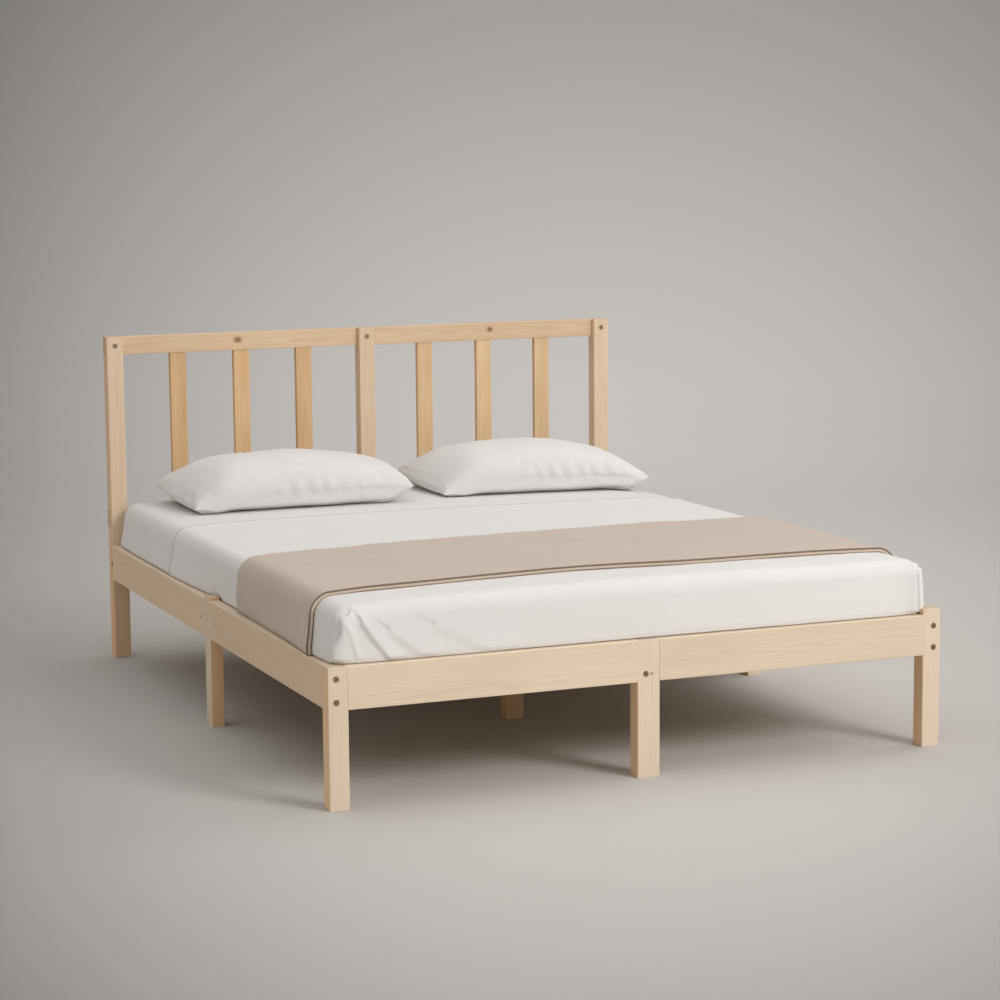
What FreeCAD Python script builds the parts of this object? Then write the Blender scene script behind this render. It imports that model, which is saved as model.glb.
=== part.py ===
import FreeCAD, Part
import Sketcher
import math
import os

# Driving sizes in millimetres, one row each in the spreadsheet
SIZES = {
    "bed_height": 980.0,
    "edge_round": 2.5,
    "cut_overrun": 5.0,
    "leg_width": 50.0,
    "leg_depth": 45.0,
    "foot_leg_right_rise": 16.0,
    "foot_center_width": 60.0,
    "side_leg_width": 50.0,
    "side_leg_lip": 6.0,
    "side_leg_shift": 30.0,
    "side_leg_rise": 8.0,
    "rail_top": 345.0,
    "rail_height": 105.0,
    "rail_thickness": 30.0,
    "beam_height": 44.0,
    "beam_thickness": 44.0,
    "beam_lap": 120.0,
    "beam_leg_width": 50.0,
    "beam_leg_reach": 300.0,
    "ledger_width": 25.0,
    "ledger_height": 30.0,
    "slat_width": 100.0,
    "slat_thickness": 18.0,
    "slat_end_gap": 3.0,
    "slat_margin": 10.0,
    "slat_edge_round": 1.5,
    "post_lap_margin": 6.5,
    "headboard_rail_thickness": 27.0,
    "top_rail_height": 55.0,
    "lower_rail_rise": 55.0,
    "lower_rail_height": 55.0,
    "headboard_slat_width": 50.0,
    "headboard_slat_thickness": 20.0,
    "mortise_depth": 15.0,
    "mortise_fit": 0.2,
    "mortise_head_gap": 0.8,
    "bolt_head_radius": 7.5,
    "bolt_head_height": 3.0,
    "bolt_head_recess": 0.6,
    "bolt_shank_radius": 4.0,
    "bolt_socket_radius": 3.2,
    "bolt_socket_depth": 2.0,
    "bolt_fit": 0.25,
    "bolt_end_reach": 2.0,
    "bolt_low_rise": 20.0,
    "bolt_pitch": 56.0,
    "lap_bolt_drop": 11.0,
    "lap_bolt_pitch": 30.0,
    "cross_bolt_rise": 48.0,
    "beam_bolt_side": 8.0,
    "beam_bolt_rise_head": 10.0,
    "beam_leg_bolt_inset": 12.0,
    "nut_radius": 5.0,
    "nut_length": 16.0,
    "nut_inset": 2.0,
    "nut_setback": 40.0,
    "nut_fit": 0.2,
    "insert_radius": 6.0,
    "insert_length": 10.0,
    "dowel_radius": 4.0,
    "dowel_length": 26.0,
    "dowel_fit": 0.1,
    "dowel_low_rise": 22.0,
    "dowel_high_rise": 88.0,
    "beam_dowel_reach": 20.0,
    "screw_shank_radius": 2.0,
    "screw_head_radius": 4.0,
    "screw_head_height": 2.6,
    "screw_head_recess": 0.2,
    "screw_length": 35.0,
    "screw_fit": 0.1,
    "mattress_width": 1586.0,
    "mattress_length": 1992.0,
    "mattress_drop": 45.0,
    "mattress_thickness": 176.0,
    "mattress_crown": 9.0,
    "mattress_side_gap": 4.4,
    "mattress_foot_gap": 4.4,
    "mattress_head_gap": 4.7,
    "mattress_corner_radius": 52.0,
    "mattress_top_radius": 48.0,
    "mattress_base_radius": 30.0,
    "layer_gap": 0.3,
    "sheet_thickness": 1.0,
    "fitted_sheet_rim": 80.0,
    "top_sheet_turndown": 474.0,
    "top_sheet_tuck": 20.0,
    "throw_thickness": 11.0,
    "throw_foot_margin": 153.0,
    "throw_width": 615.0,
    "throw_rail_gap": 0.5,
    "pillow_width": 720.0,
    "pillow_depth": 400.0,
    "pillow_height": 150.0,
    "pillow_head_gap": 50.0,
    "pillow_gap": 58.0,
    "pillow_shift": 28.0,
    "pillow_seat_gap": 0.3,
    "pillow_turn_degrees": 4.0,
}
BED_SLAT_COUNT = 12
HEADBOARD_SLATS_PER_HALF = 3
LEDGER_SCREW_SHARES = (0.08, 0.36, 0.64, 0.92)

doc = FreeCAD.newDocument("double_bed")
sheet = doc.addObject("Spreadsheet::Sheet", "sizes")
for row, (alias, value) in enumerate(SIZES.items(), start=1):
    sheet.set("A%d" % row, alias)
    sheet.set("B%d" % row, str(value))
    sheet.setAlias("B%d" % row, alias)
doc.recompute()


class Size:
    """A length that is both a spreadsheet expression and its present value."""

    def __init__(self, text, value):
        self.text = text
        self.value = value

    def _join(self, sign, other, value):
        return Size("(%s %s %s)" % (self.text, sign, other.text), value)

    def __add__(self, other):
        return self._join("+", other, self.value + other.value)

    def __sub__(self, other):
        return self._join("-", other, self.value - other.value)

    def __mul__(self, share):
        return Size("(%s * %r)" % (self.text, share), self.value * share)

    def __truediv__(self, share):
        return Size("(%s / %r)" % (self.text, share), self.value / share)

    def __neg__(self):
        return Size("(0 - %s)" % self.text, -self.value)


class SizeTable:
    """Gives each spreadsheet row as a Size, by its alias."""

    def __getattr__(self, alias):
        return Size("sizes." + alias, float(sheet.get(alias)))


at = SizeTable()
zero = Size("0", 0.0)

# Places that several pieces share
fitted_inner = at.layer_gap
fitted_outer = fitted_inner + at.sheet_thickness
top_inner = fitted_outer + at.layer_gap
top_outer = top_inner + at.sheet_thickness
throw_inner = top_outer + at.layer_gap
throw_outer = throw_inner + at.throw_thickness
half_width = at.mattress_width / 2 + top_outer + at.mattress_side_gap + at.rail_thickness
foot_run = at.rail_thickness + at.mattress_foot_gap + top_outer
head_run = fitted_outer + at.mattress_head_gap + at.leg_depth
half_length = (foot_run + at.mattress_length + head_run) / 2
mattress_foot = foot_run - half_length
mattress_head = half_length - head_run
mattress_middle = (mattress_foot + mattress_head) / 2
mattress_base = at.rail_top - at.mattress_drop
mattress_floor = mattress_base + fitted_outer
rail_base = at.rail_top - at.rail_height
rail_inner = half_width - at.rail_thickness
leg_inner = half_width - at.leg_width
foot_leg_back = at.leg_depth - half_length
head_front = half_length - at.leg_depth
side_leg_front = -at.side_leg_shift - at.side_leg_width / 2
side_leg_back = at.side_leg_width / 2 - at.side_leg_shift
slat_base = mattress_base - at.slat_thickness
beam_base = slat_base - at.beam_height
lap_base = beam_base + at.beam_bolt_rise_head + at.bolt_head_radius + at.post_lap_margin
lap_face = half_length - at.leg_depth / 2
headboard_back = half_length - at.headboard_rail_thickness
headboard_middle = half_length - at.headboard_rail_thickness / 2
top_rail_base = at.bed_height - at.top_rail_height
lower_rail_base = at.rail_top + at.lower_rail_rise
lower_rail_top = lower_rail_base + at.lower_rail_height
side_leg_thickness = at.rail_thickness + at.side_leg_lip
nut_line = at.nut_inset + at.nut_length / 2
over = at.cut_overrun
SIDES = (("left", -1), ("right", 1))
TURNS = {
    "+x": FreeCAD.Rotation(FreeCAD.Vector(0, 1, 0), 90),
    "-x": FreeCAD.Rotation(FreeCAD.Vector(0, 1, 0), -90),
    "+y": FreeCAD.Rotation(FreeCAD.Vector(1, 0, 0), -90),
    "-y": FreeCAD.Rotation(FreeCAD.Vector(1, 0, 0), 90),
    "+z": FreeCAD.Rotation(),
    "-z": FreeCAD.Rotation(FreeCAD.Vector(1, 0, 0), 180),
}

blanks = {}
tools = {}
nodes = []
bolts = []
nuts = []
dowels = []
screws = []


def bind(thing, **sizes_by_property):
    for name, length in sizes_by_property.items():
        thing.setExpression(name, length.text)


def put(thing, point, toward="+z"):
    thing.Placement = FreeCAD.Placement(FreeCAD.Vector(), TURNS[toward])
    for axis, length in zip("xyz", point):
        thing.setExpression("Placement.Base." + axis, length.text)


def moved(point, toward, distance):
    shifted = list(point)
    index = "xyz".index(toward[1])
    if toward[0] == "+":
        shifted[index] = shifted[index] + distance
    else:
        shifted[index] = shifted[index] - distance
    return shifted


def on_side(side, inner, outer):
    if side > 0:
        return inner, outer
    return -outer, -inner


def block(name, low, high):
    thing = doc.addObject("Part::Box", name)
    span = [top - bottom for bottom, top in zip(low, high)]
    bind(thing, Length=span[0], Width=span[1], Height=span[2])
    put(thing, low)
    return thing


def rod(name, start, toward, radius, length):
    thing = doc.addObject("Part::Cylinder", name)
    bind(thing, Radius=radius, Height=length)
    put(thing, start, toward)
    return thing


def joined(name, things):
    if len(things) == 1:
        return things[0]
    thing = doc.addObject("Part::MultiFuse", name)
    thing.Shapes = things
    return thing


def carved(name, base, tool):
    thing = doc.addObject("Part::Cut", name)
    thing.Base = base
    thing.Tool = tool
    return thing


def board(label, low, high, along, radius=None):
    """A milled board: a block whose long edges are rounded over."""
    thing = block(label + "_blank", low, high)
    thing.recompute()
    length = (radius or at.edge_round).value
    index = "xyz".index(along)
    edges = []
    for number, edge in enumerate(thing.Shape.Edges, start=1):
        direction = edge.Vertexes[1].Point - edge.Vertexes[0].Point
        if abs(direction[index]) > direction.Length / 2:
            edges.append((number, length, length))
    milled = doc.addObject("Part::Fillet", label + "_milled")
    milled.Base = thing
    milled.Edges = edges
    blanks[label] = milled
    tools[label] = []


def notch(label, low, high):
    tools[label].append(block("%s_notch_%d" % (label, len(tools[label])), low, high))


def bolt(name, start, toward, length, through):
    """A connector bolt whose head is sunk into the first board; returns its hole."""
    begin = moved(start, toward, -over)
    hole = rod(name + "_hole", begin, toward, at.bolt_shank_radius + at.bolt_fit,
               length + over + at.bolt_fit)
    for label in through:
        tools[label].append(hole)
    seat = at.bolt_head_recess + at.bolt_head_height
    tools[through[0]].append(rod(name + "_counterbore", begin, toward,
                                 at.bolt_head_radius + at.bolt_fit, seat + over))
    top = moved(start, toward, at.bolt_head_recess)
    head = rod(name + "_head", top, toward, at.bolt_head_radius, at.bolt_head_height)
    shank = rod(name + "_shank", top, toward, at.bolt_shank_radius, length - at.bolt_head_recess)
    socket = doc.addObject("Part::Prism", name + "_socket")
    socket.Polygon = 6
    bind(socket, Circumradius=at.bolt_socket_radius, Height=at.bolt_socket_depth + over)
    put(socket, moved(top, toward, -over), toward)
    bolts.append(carved(name, joined(name + "_blank", [head, shank]), socket))
    return hole


def stud(name, start, toward, length, through):
    """A threaded rod that ends in a barrel nut at both ends; returns its hole."""
    hole = rod(name + "_hole", moved(start, toward, -at.bolt_fit), toward,
               at.bolt_shank_radius + at.bolt_fit, length + at.bolt_fit * 2)
    for label in through:
        tools[label].append(hole)
    bolts.append(rod(name, start, toward, at.bolt_shank_radius, length))
    return hole


def barrel_nut(name, mouth, toward, label, stem_hole, inset=None):
    """A cross nut let into a hole that starts at the mouth."""
    inset = inset or at.nut_inset
    tools[label].append(rod(name + "_hole", moved(mouth, toward, -over), toward,
                            at.nut_radius + at.nut_fit, inset + at.nut_length + over))
    barrel = rod(name + "_barrel", moved(mouth, toward, inset), toward,
                 at.nut_radius, at.nut_length)
    nuts.append(carved(name, barrel, stem_hole))


def insert_nut(name, mouth, toward, label, stem_hole):
    """A threaded sleeve sunk flush into a face."""
    tools[label].append(rod(name + "_hole", moved(mouth, toward, -over), toward,
                            at.insert_radius + at.nut_fit,
                            at.bolt_head_recess + at.insert_length + over))
    sleeve = rod(name + "_sleeve", moved(mouth, toward, at.bolt_head_recess), toward,
                 at.insert_radius, at.insert_length)
    nuts.append(carved(name, sleeve, stem_hole))


def dowel(name, start, toward, length, through):
    hole = rod(name + "_hole", moved(start, toward, -at.dowel_fit), toward,
               at.dowel_radius + at.dowel_fit, length + at.dowel_fit * 2)
    for label in through:
        tools[label].append(hole)
    dowels.append(rod(name, start, toward, at.dowel_radius, length))


def screw_cone(name, start, toward, extra):
    thing = doc.addObject("Part::Cone", name)
    bind(thing, Radius1=at.screw_head_radius + extra, Radius2=at.screw_shank_radius + extra,
         Height=at.screw_head_height)
    put(thing, start, toward)
    return thing


def screw(name, start, toward, through):
    """A countersunk wood screw that starts in the first board."""
    top = moved(start, toward, at.screw_head_recess)
    hole = rod(name + "_hole", top, toward, at.screw_shank_radius + at.screw_fit,
               at.screw_length + at.screw_fit)
    for label in through:
        tools[label].append(hole)
    tools[through[0]].append(screw_cone(name + "_sink", top, toward, at.screw_fit))
    tools[through[0]].append(rod(name + "_mouth", moved(start, toward, -over), toward,
                                 at.screw_head_radius + at.screw_fit,
                                 at.screw_head_recess + over))
    head = screw_cone(name + "_head", top, toward, zero)
    shank = rod(name + "_shank", top, toward, at.screw_shank_radius, at.screw_length)
    screws.append(joined(name, [head, shank]))


# Legs at the foot, the sides and under the beam
for word, side in SIDES:
    left, right = on_side(side, leg_inner, half_width)
    rise = at.foot_leg_right_rise if side > 0 else zero
    board("foot_leg_" + word, (left, -half_length, zero),
          (right, foot_leg_back, at.rail_top + rise), "z")
    side_leg = "side_leg_" + word
    left, right = on_side(side, half_width - side_leg_thickness, half_width)
    board(side_leg, (left, side_leg_front, zero),
          (right, side_leg_back, at.rail_top + at.side_leg_rise), "z")
    left, right = on_side(side, half_width - side_leg_thickness - over, rail_inner)
    notch(side_leg, (left, side_leg_front - over, slat_base),
          (right, side_leg_back + over, at.rail_top + at.side_leg_rise + over))

foot_center = at.foot_center_width / 2
board("foot_leg_center", (-foot_center, -half_length, zero),
      (foot_center, foot_leg_back, at.rail_top), "z")
notch("foot_leg_center", (-foot_center - over, at.rail_thickness - half_length, slat_base),
      (foot_center + over, foot_leg_back + over, at.rail_top + over))

beam_half = at.beam_thickness / 2
for word, front in (("foot", -at.beam_leg_reach), ("head", at.beam_leg_reach - at.leg_depth)):
    board("beam_leg_" + word, (-beam_half - at.beam_leg_width, front, zero),
          (-beam_half, front + at.leg_depth, slat_base), "z")

# Head legs, with the headboard posts lapped behind them
post_half = at.leg_width / 2
POSTS = (("left", -half_width, -leg_inner), ("center", -post_half, post_half),
         ("right", leg_inner, half_width))
for word, left, right in POSTS:
    leg = "head_leg_" + word
    post = "headboard_post_" + word
    board(leg, (left, head_front, zero), (right, half_length, at.rail_top), "z")
    notch(leg, (left - over, lap_face, lap_base),
          (right + over, half_length + over, at.rail_top + over))
    board(post, (left, head_front, lap_base), (right, half_length, at.bed_height), "z")
    notch(post, (left - over, head_front - over, lap_base - over),
          (right + over, lap_face, at.rail_top))
    notch(post, (left - over, headboard_back, top_rail_base),
          (right + over, half_length + over, at.bed_height + over))
    notch(post, (left - over, headboard_back, lower_rail_base),
          (right + over, half_length + over, lower_rail_top))

# Headboard rails, spliced behind the centre post, and the upright slats
bay = leg_inner - post_half
bay_gap = (bay - at.headboard_slat_width * HEADBOARD_SLATS_PER_HALF) / (HEADBOARD_SLATS_PER_HALF + 1)
HEADBOARD_RAILS = (
    ("top", top_rail_base, at.bed_height, top_rail_base - over, top_rail_base + at.mortise_depth),
    ("lower", lower_rail_base, lower_rail_top, lower_rail_top - at.mortise_depth,
     lower_rail_top + over),
)
for word, side in SIDES:
    for level, base, top, mortise_base, mortise_top in HEADBOARD_RAILS:
        label = "headboard_%s_rail_%s" % (level, word)
        left, right = on_side(side, -post_half, half_width)
        board(label, (left, headboard_back, base), (right, half_length, top), "x")
        left, right = on_side(side, -post_half - over, post_half)
        if side < 0:
            notch(label, (left, headboard_middle, base - over),
                  (right, half_length + over, top + over))
        else:
            notch(label, (left, headboard_back - over, base - over),
                  (right, headboard_middle, top + over))
    for number in range(HEADBOARD_SLATS_PER_HALF):
        place = post_half + bay_gap * (number + 1) + at.headboard_slat_width * (number + 0.5)
        reach = at.headboard_slat_width / 2
        depth = at.headboard_slat_thickness / 2
        left, right = on_side(side, place - reach, place + reach)
        board("headboard_slat_%s_%d" % (word, number + 1),
              (left, headboard_middle - depth, lower_rail_top - at.mortise_depth),
              (right, headboard_middle + depth,
               top_rail_base + at.mortise_depth - at.mortise_head_gap),
              "z", at.slat_edge_round)
        for level, base, top, mortise_base, mortise_top in HEADBOARD_RAILS:
            notch("headboard_%s_rail_%s" % (level, word),
                  (left - at.mortise_fit, headboard_middle - depth - at.mortise_fit, mortise_base),
                  (right + at.mortise_fit, headboard_middle + depth + at.mortise_fit, mortise_top))

# Side, foot and head rails
RAIL_HALVES = (("foot", foot_leg_back, side_leg_front), ("head", side_leg_back, head_front))
for word, side in SIDES:
    left, right = on_side(side, rail_inner, half_width)
    for end, front, back in RAIL_HALVES:
        board("side_rail_%s_%s" % (word, end), (left, front, rail_base),
              (right, back, at.rail_top), "y")
    left, right = on_side(side, foot_center, leg_inner)
    board("foot_rail_" + word, (left, -half_length, rail_base),
          (right, at.rail_thickness - half_length, at.rail_top), "x")
    left, right = on_side(side, post_half, leg_inner)
    board("head_rail_" + word, (left, head_front, rail_base),
          (right, head_front + at.rail_thickness, at.rail_top), "x")

# Centre beam, half-lapped at the middle of the bed
lap_half = at.beam_lap / 2
beam_middle = slat_base - at.beam_height / 2
board("center_beam_foot", (-beam_half, foot_leg_back, beam_base),
      (beam_half, lap_half, slat_base), "y")
notch("center_beam_foot", (-beam_half - over, -lap_half, beam_middle),
      (beam_half + over, lap_half + over, slat_base + over))
board("center_beam_head", (-beam_half, -lap_half, beam_base),
      (beam_half, head_front, slat_base), "y")
notch("center_beam_head", (-beam_half - over, -lap_half - over, beam_base - over),
      (beam_half + over, lap_half, beam_middle))
for number, place in enumerate((-lap_half / 2, lap_half / 2), start=1):
    dowel("lap_dowel_%d" % number, (zero, place, beam_base + at.bolt_end_reach), "+z",
          at.beam_height - at.bolt_end_reach * 2, ("center_beam_foot", "center_beam_head"))

# Slat ledgers and bed slats
ledger_inner = rail_inner - at.ledger_width
for word, side in SIDES:
    left, right = on_side(side, ledger_inner, rail_inner)
    for end, front, back in RAIL_HALVES:
        label = "slat_ledger_%s_%s" % (word, end)
        board(label, (left, front, slat_base - at.ledger_height), (right, back, slat_base), "y")
        for number, share in enumerate(LEDGER_SCREW_SHARES, start=1):
            screw("%s_screw_%d" % (label, number),
                  (left if side > 0 else right, front + (back - front) * share,
                   slat_base - at.ledger_height / 2),
                  "+x" if side > 0 else "-x", (label, "side_rail_%s_%s" % (word, end)))

slat_reach = rail_inner - at.slat_end_gap
first_slat = foot_leg_back + at.slat_margin
slat_run = head_front - foot_leg_back - at.slat_margin * 2 - at.slat_width
for number in range(BED_SLAT_COUNT):
    label = "bed_slat_%02d" % (number + 1)
    front = first_slat + slat_run * (number / (BED_SLAT_COUNT - 1))
    board(label, (-slat_reach, front, slat_base),
          (slat_reach, front + at.slat_width, mattress_base), "x", at.slat_edge_round)
    middle = front + at.slat_width / 2
    end = "foot" if middle.value < -SIZES["side_leg_shift"] else "head"
    for word, side in SIDES:
        place = rail_inner - at.ledger_width / 2
        screw("%s_screw_%s" % (label, word), (place * side, middle, mattress_base), "-z",
              (label, "slat_ledger_%s_%s" % (word, end)))

# Bolts, nuts and dowels of the rail joints
corner_bolt_length = at.leg_depth + at.nut_setback + at.nut_radius + at.bolt_end_reach
cross_bolt_length = at.leg_width + at.nut_setback + at.nut_radius + at.bolt_end_reach
stud_tail = at.nut_setback + at.nut_radius + at.bolt_end_reach
bolt_line = rail_inner + nut_line
foot_line = at.rail_thickness - half_length - nut_line
head_line = head_front + nut_line
cross_level = rail_base + at.cross_bolt_rise
dowel_levels = (rail_base + at.dowel_low_rise, rail_base + at.dowel_high_rise)
foot_bolt_levels = (rail_base + at.bolt_low_rise, rail_base + at.bolt_low_rise + at.bolt_pitch)
head_bolt_levels = (at.rail_top - at.lap_bolt_drop - at.lap_bolt_pitch,
                    at.rail_top - at.lap_bolt_drop)
CORNERS = (
    ("foot", -half_length, "+y", foot_bolt_levels, foot_leg_back + at.nut_setback),
    ("head", half_length, "-y", head_bolt_levels, head_front - at.nut_setback),
)
ENDS = (
    ("foot", foot_line, at.rail_thickness - half_length, "-y", foot_center,
     at.rail_thickness / 2 - half_length),
    ("head", head_line, head_front, "+y", post_half, head_line),
)
dowel_half = at.dowel_length / 2
for word, side in SIDES:
    inward = "-x" if side > 0 else "+x"
    outward = "+x" if side > 0 else "-x"
    for end, face, toward, levels, nut_place in CORNERS:
        rail = "side_rail_%s_%s" % (word, end)
        through = ["foot_leg_" + word, rail]
        if end == "head":
            through = ["headboard_post_" + word, "head_leg_" + word, rail]
        for number, level in enumerate(levels, start=1):
            name = "%s_corner_%s_%d" % (end, word, number)
            hole = bolt(name + "_bolt", (bolt_line * side, face, level), toward,
                        corner_bolt_length, through)
            barrel_nut(name + "_nut", (rail_inner * side, nut_place, level), outward, rail, hole)
    for end, line, mouth, nut_toward, center_edge, dowel_line in ENDS:
        rail = "%s_rail_%s" % (end, word)
        leg = "%s_leg_%s" % (end, word)
        name = "%s_cross_%s" % (end, word)
        if end == "head":
            hole = bolt(name + "_bolt", (half_width * side, line, cross_level), inward,
                        cross_bolt_length, (leg, rail))
            barrel_nut(name + "_nut", ((leg_inner - at.nut_setback) * side, mouth, cross_level),
                       nut_toward, rail, hole)
        for number, level in enumerate(dowel_levels, start=1):
            dowel("%s_outer_dowel_%d" % (name, number),
                  ((leg_inner - dowel_half) * side, dowel_line, level), outward,
                  at.dowel_length, (leg, rail))
            dowel("%s_inner_dowel_%d" % (name, number),
                  ((center_edge - dowel_half) * side, dowel_line, level), outward,
                  at.dowel_length, (end + "_leg_center", rail))
    leg = "side_leg_" + word
    stud_line = (half_width - nut_line) * side
    hole = stud("%s_stud" % leg, (stud_line, side_leg_front - stud_tail, cross_level), "+y",
                at.side_leg_width + stud_tail * 2,
                (leg, "side_rail_%s_foot" % word, "side_rail_%s_head" % word))
    for end, place, edge in (("foot", side_leg_front - at.nut_setback, side_leg_front),
                             ("head", side_leg_back + at.nut_setback, side_leg_back)):
        rail = "side_rail_%s_%s" % (word, end)
        barrel_nut("%s_%s_nut" % (leg, end), (half_width * side, place, cross_level), inward,
                   rail, hole)
        for number, level in enumerate(dowel_levels, start=1):
            dowel("%s_%s_dowel_%d" % (leg, end, number),
                  ((half_width - at.rail_thickness / 2) * side, edge - dowel_half, level), "+y",
                  at.dowel_length, (leg, rail))

for end, line, mouth, nut_toward, center_edge, dowel_line in ENDS:
    rails = (end + "_rail_left", end + "_rail_right")
    hole = stud(end + "_center_stud", (-center_edge - stud_tail, line, cross_level), "+x",
                (center_edge + stud_tail) * 2, (end + "_leg_center",) + rails)
    for (word, side), rail in zip(SIDES, rails):
        barrel_nut("%s_center_nut_%s" % (end, word),
                   ((center_edge + at.nut_setback) * side, mouth, cross_level),
                   nut_toward, rail, hole)

# Fastening of the beam, its legs and the headboard
BEAM_ENDS = (
    ("foot", -half_length, "+y", beam_middle, foot_leg_back + at.nut_setback),
    ("head", half_length, "-y", beam_base + at.beam_bolt_rise_head, head_front - at.nut_setback),
)
for end, face, toward, level, nut_place in BEAM_ENDS:
    beam = "center_beam_" + end
    leg = end + "_leg_center"
    hole = bolt(end + "_beam_bolt", (-at.beam_bolt_side, face, level), toward,
                corner_bolt_length, (leg, beam))
    barrel_nut(end + "_beam_nut", (-at.beam_bolt_side, nut_place, beam_base), "+z", beam, hole,
               level - beam_base - at.nut_length / 2)
    dowel(end + "_beam_dowel", (at.beam_bolt_side, face, level), toward,
          at.leg_depth + at.beam_dowel_reach, (leg, beam))
    leg = "beam_leg_" + end
    front = -at.beam_leg_reach if end == "foot" else at.beam_leg_reach - at.leg_depth
    hole = bolt(leg + "_bolt",
                (-beam_half - at.beam_leg_width, front + at.beam_leg_bolt_inset, beam_middle),
                "+x", at.beam_leg_width + at.beam_thickness - at.bolt_end_reach, (leg, beam))
    insert_nut(leg + "_insert", (beam_half, front + at.beam_leg_bolt_inset, beam_middle), "-x",
               beam, hole)
    dowel(leg + "_dowel",
          (-beam_half - dowel_half, front + at.leg_depth - at.beam_leg_bolt_inset, beam_middle),
          "+x", at.dowel_length, (leg, beam))

for number, level in enumerate(head_bolt_levels, start=1):
    name = "center_lap_%d" % number
    hole = bolt(name + "_bolt", (zero, half_length, level), "-y",
                at.leg_depth - at.bolt_end_reach, ("headboard_post_center", "head_leg_center"))
    insert_nut(name + "_insert", (zero, head_front, level), "+y", "head_leg_center", hole)

rear_bolt_length = (at.headboard_rail_thickness + at.bolt_head_recess + at.insert_length
                    - at.bolt_end_reach)
for word, left, right in POSTS:
    middle = (left + right) / 2
    for level, base, top, mortise_base, mortise_top in HEADBOARD_RAILS:
        rails = ["headboard_%s_rail_%s" % (level, word)]
        if word == "center":
            rails = ["headboard_%s_rail_left" % level, "headboard_%s_rail_right" % level]
        name = "headboard_%s_%s" % (level, word)
        post = "headboard_post_" + word
        height = (base + top) / 2
        if level == "top":
            hole = bolt(name + "_bolt", (middle, head_front, height), "+y",
                        at.leg_depth - at.bolt_end_reach, [post] + rails)
            insert_nut(name + "_insert", (middle, half_length, height), "-y", rails[-1], hole)
        else:
            hole = bolt(name + "_bolt", (middle, half_length, height), "-y", rear_bolt_length,
                        rails[::-1] + [post])
            insert_nut(name + "_insert", (middle, headboard_back, height), "-y", post, hole)

for label, blank in blanks.items():
    if tools[label]:
        node = carved(label, blank, joined(label + "_tools", tools[label]))
    else:
        node = blank
    node.Label = label
    nodes.append(node)

for label, things in (("connector_bolts", bolts), ("connector_nuts", nuts),
                      ("wood_dowels", dowels), ("wood_screws", screws)):
    node = doc.addObject("Part::Compound", label)
    node.Links = things
    node.Label = label
    nodes.append(node)

# Mattress and the cloths laid round it
def padded_block(label, spread):
    """A crowned block with rounded corners, grown all round by the spread."""
    body = doc.addObject("PartDesign::Body", label)
    plane = [item for item in body.Origin.OriginFeatures if item.Role == "XZ_Plane"][0]
    sketch = body.newObject("Sketcher::SketchObject", label + "_profile")
    sketch.AttachmentSupport = (plane, [""])
    sketch.MapMode = "FlatFace"
    half = at.mattress_width / 2 + spread
    height = at.mattress_thickness + spread * 2
    bow = Size("((%s ^ 2 + %s ^ 2) / (2 * %s))" % (half.text, at.mattress_crown.text,
                                                  at.mattress_crown.text),
               (half.value ** 2 + at.mattress_crown.value ** 2) / (2 * at.mattress_crown.value))
    corners = [FreeCAD.Vector(-half.value, 0, 0), FreeCAD.Vector(half.value, 0, 0),
               FreeCAD.Vector(half.value, height.value, 0),
               FreeCAD.Vector(-half.value, height.value, 0)]
    crest = FreeCAD.Vector(0, height.value + at.mattress_crown.value, 0)
    sketch.addGeometry(Part.LineSegment(corners[0], corners[1]), False)
    sketch.addGeometry(Part.LineSegment(corners[1], corners[2]), False)
    sketch.addGeometry(Part.Arc(corners[2], crest, corners[3]), False)
    sketch.addGeometry(Part.LineSegment(corners[3], corners[0]), False)
    sketch.addConstraint([
        Sketcher.Constraint("Coincident", 0, 2, 1, 1),
        Sketcher.Constraint("Coincident", 1, 2, 2, 1),
        Sketcher.Constraint("Coincident", 2, 2, 3, 1),
        Sketcher.Constraint("Coincident", 3, 2, 0, 1),
        Sketcher.Constraint("Symmetric", 0, 1, 0, 2, -1, 1),
        Sketcher.Constraint("Horizontal", 0),
        Sketcher.Constraint("Vertical", 1),
        Sketcher.Constraint("Vertical", 3),
        Sketcher.Constraint("Equal", 1, 3),
    ])
    for kind, geometry, length in (("DistanceX", 0, half * 2), ("DistanceY", 1, height),
                                   ("Radius", 2, bow)):
        if kind == "Radius":
            number = sketch.addConstraint(Sketcher.Constraint(kind, geometry, length.value))
        else:
            number = sketch.addConstraint(
                Sketcher.Constraint(kind, geometry, 1, geometry, 2, length.value))
        sketch.setExpression("Constraints[%d]" % number, length.text)
    pad = body.newObject("PartDesign::Pad", label + "_pad")
    pad.Profile = sketch
    pad.Midplane = True
    bind(pad, Length=at.mattress_length + spread * 2)
    doc.recompute()
    rounds = (
        ("corner", at.mattress_corner_radius + spread, lambda edge: edge.BoundBox.ZLength > height.value / 2),
        ("top", at.mattress_top_radius + spread, lambda edge: edge.BoundBox.ZMin > height.value / 2),
        ("base", at.mattress_base_radius + spread, lambda edge: edge.BoundBox.ZMax < at.edge_round.value),
    )
    base = pad
    for word, radius, belongs in rounds:
        fillet = body.newObject("PartDesign::Fillet", "%s_%s_round" % (label, word))
        names = ["Edge%d" % number for number, edge in enumerate(base.Shape.Edges, start=1)
                 if belongs(edge)]
        fillet.Base = (base, names)
        bind(fillet, Radius=radius)
        doc.recompute()
        base = fillet
    put(body, (zero, mattress_middle, mattress_floor - spread))
    return body


def cloth(label, inner, outer, keep):
    """The skin between two spreads, kept where the given block is."""
    skin = carved(label + "_skin", padded_block(label + "_outer", outer),
                  padded_block(label + "_inner", inner))
    if keep is None:
        return skin
    node = doc.addObject("Part::Common", label)
    node.Base = skin
    node.Tool = keep
    return node


mattress = padded_block("mattress", zero)
mattress.Label = "mattress"
nodes.append(mattress)

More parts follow.
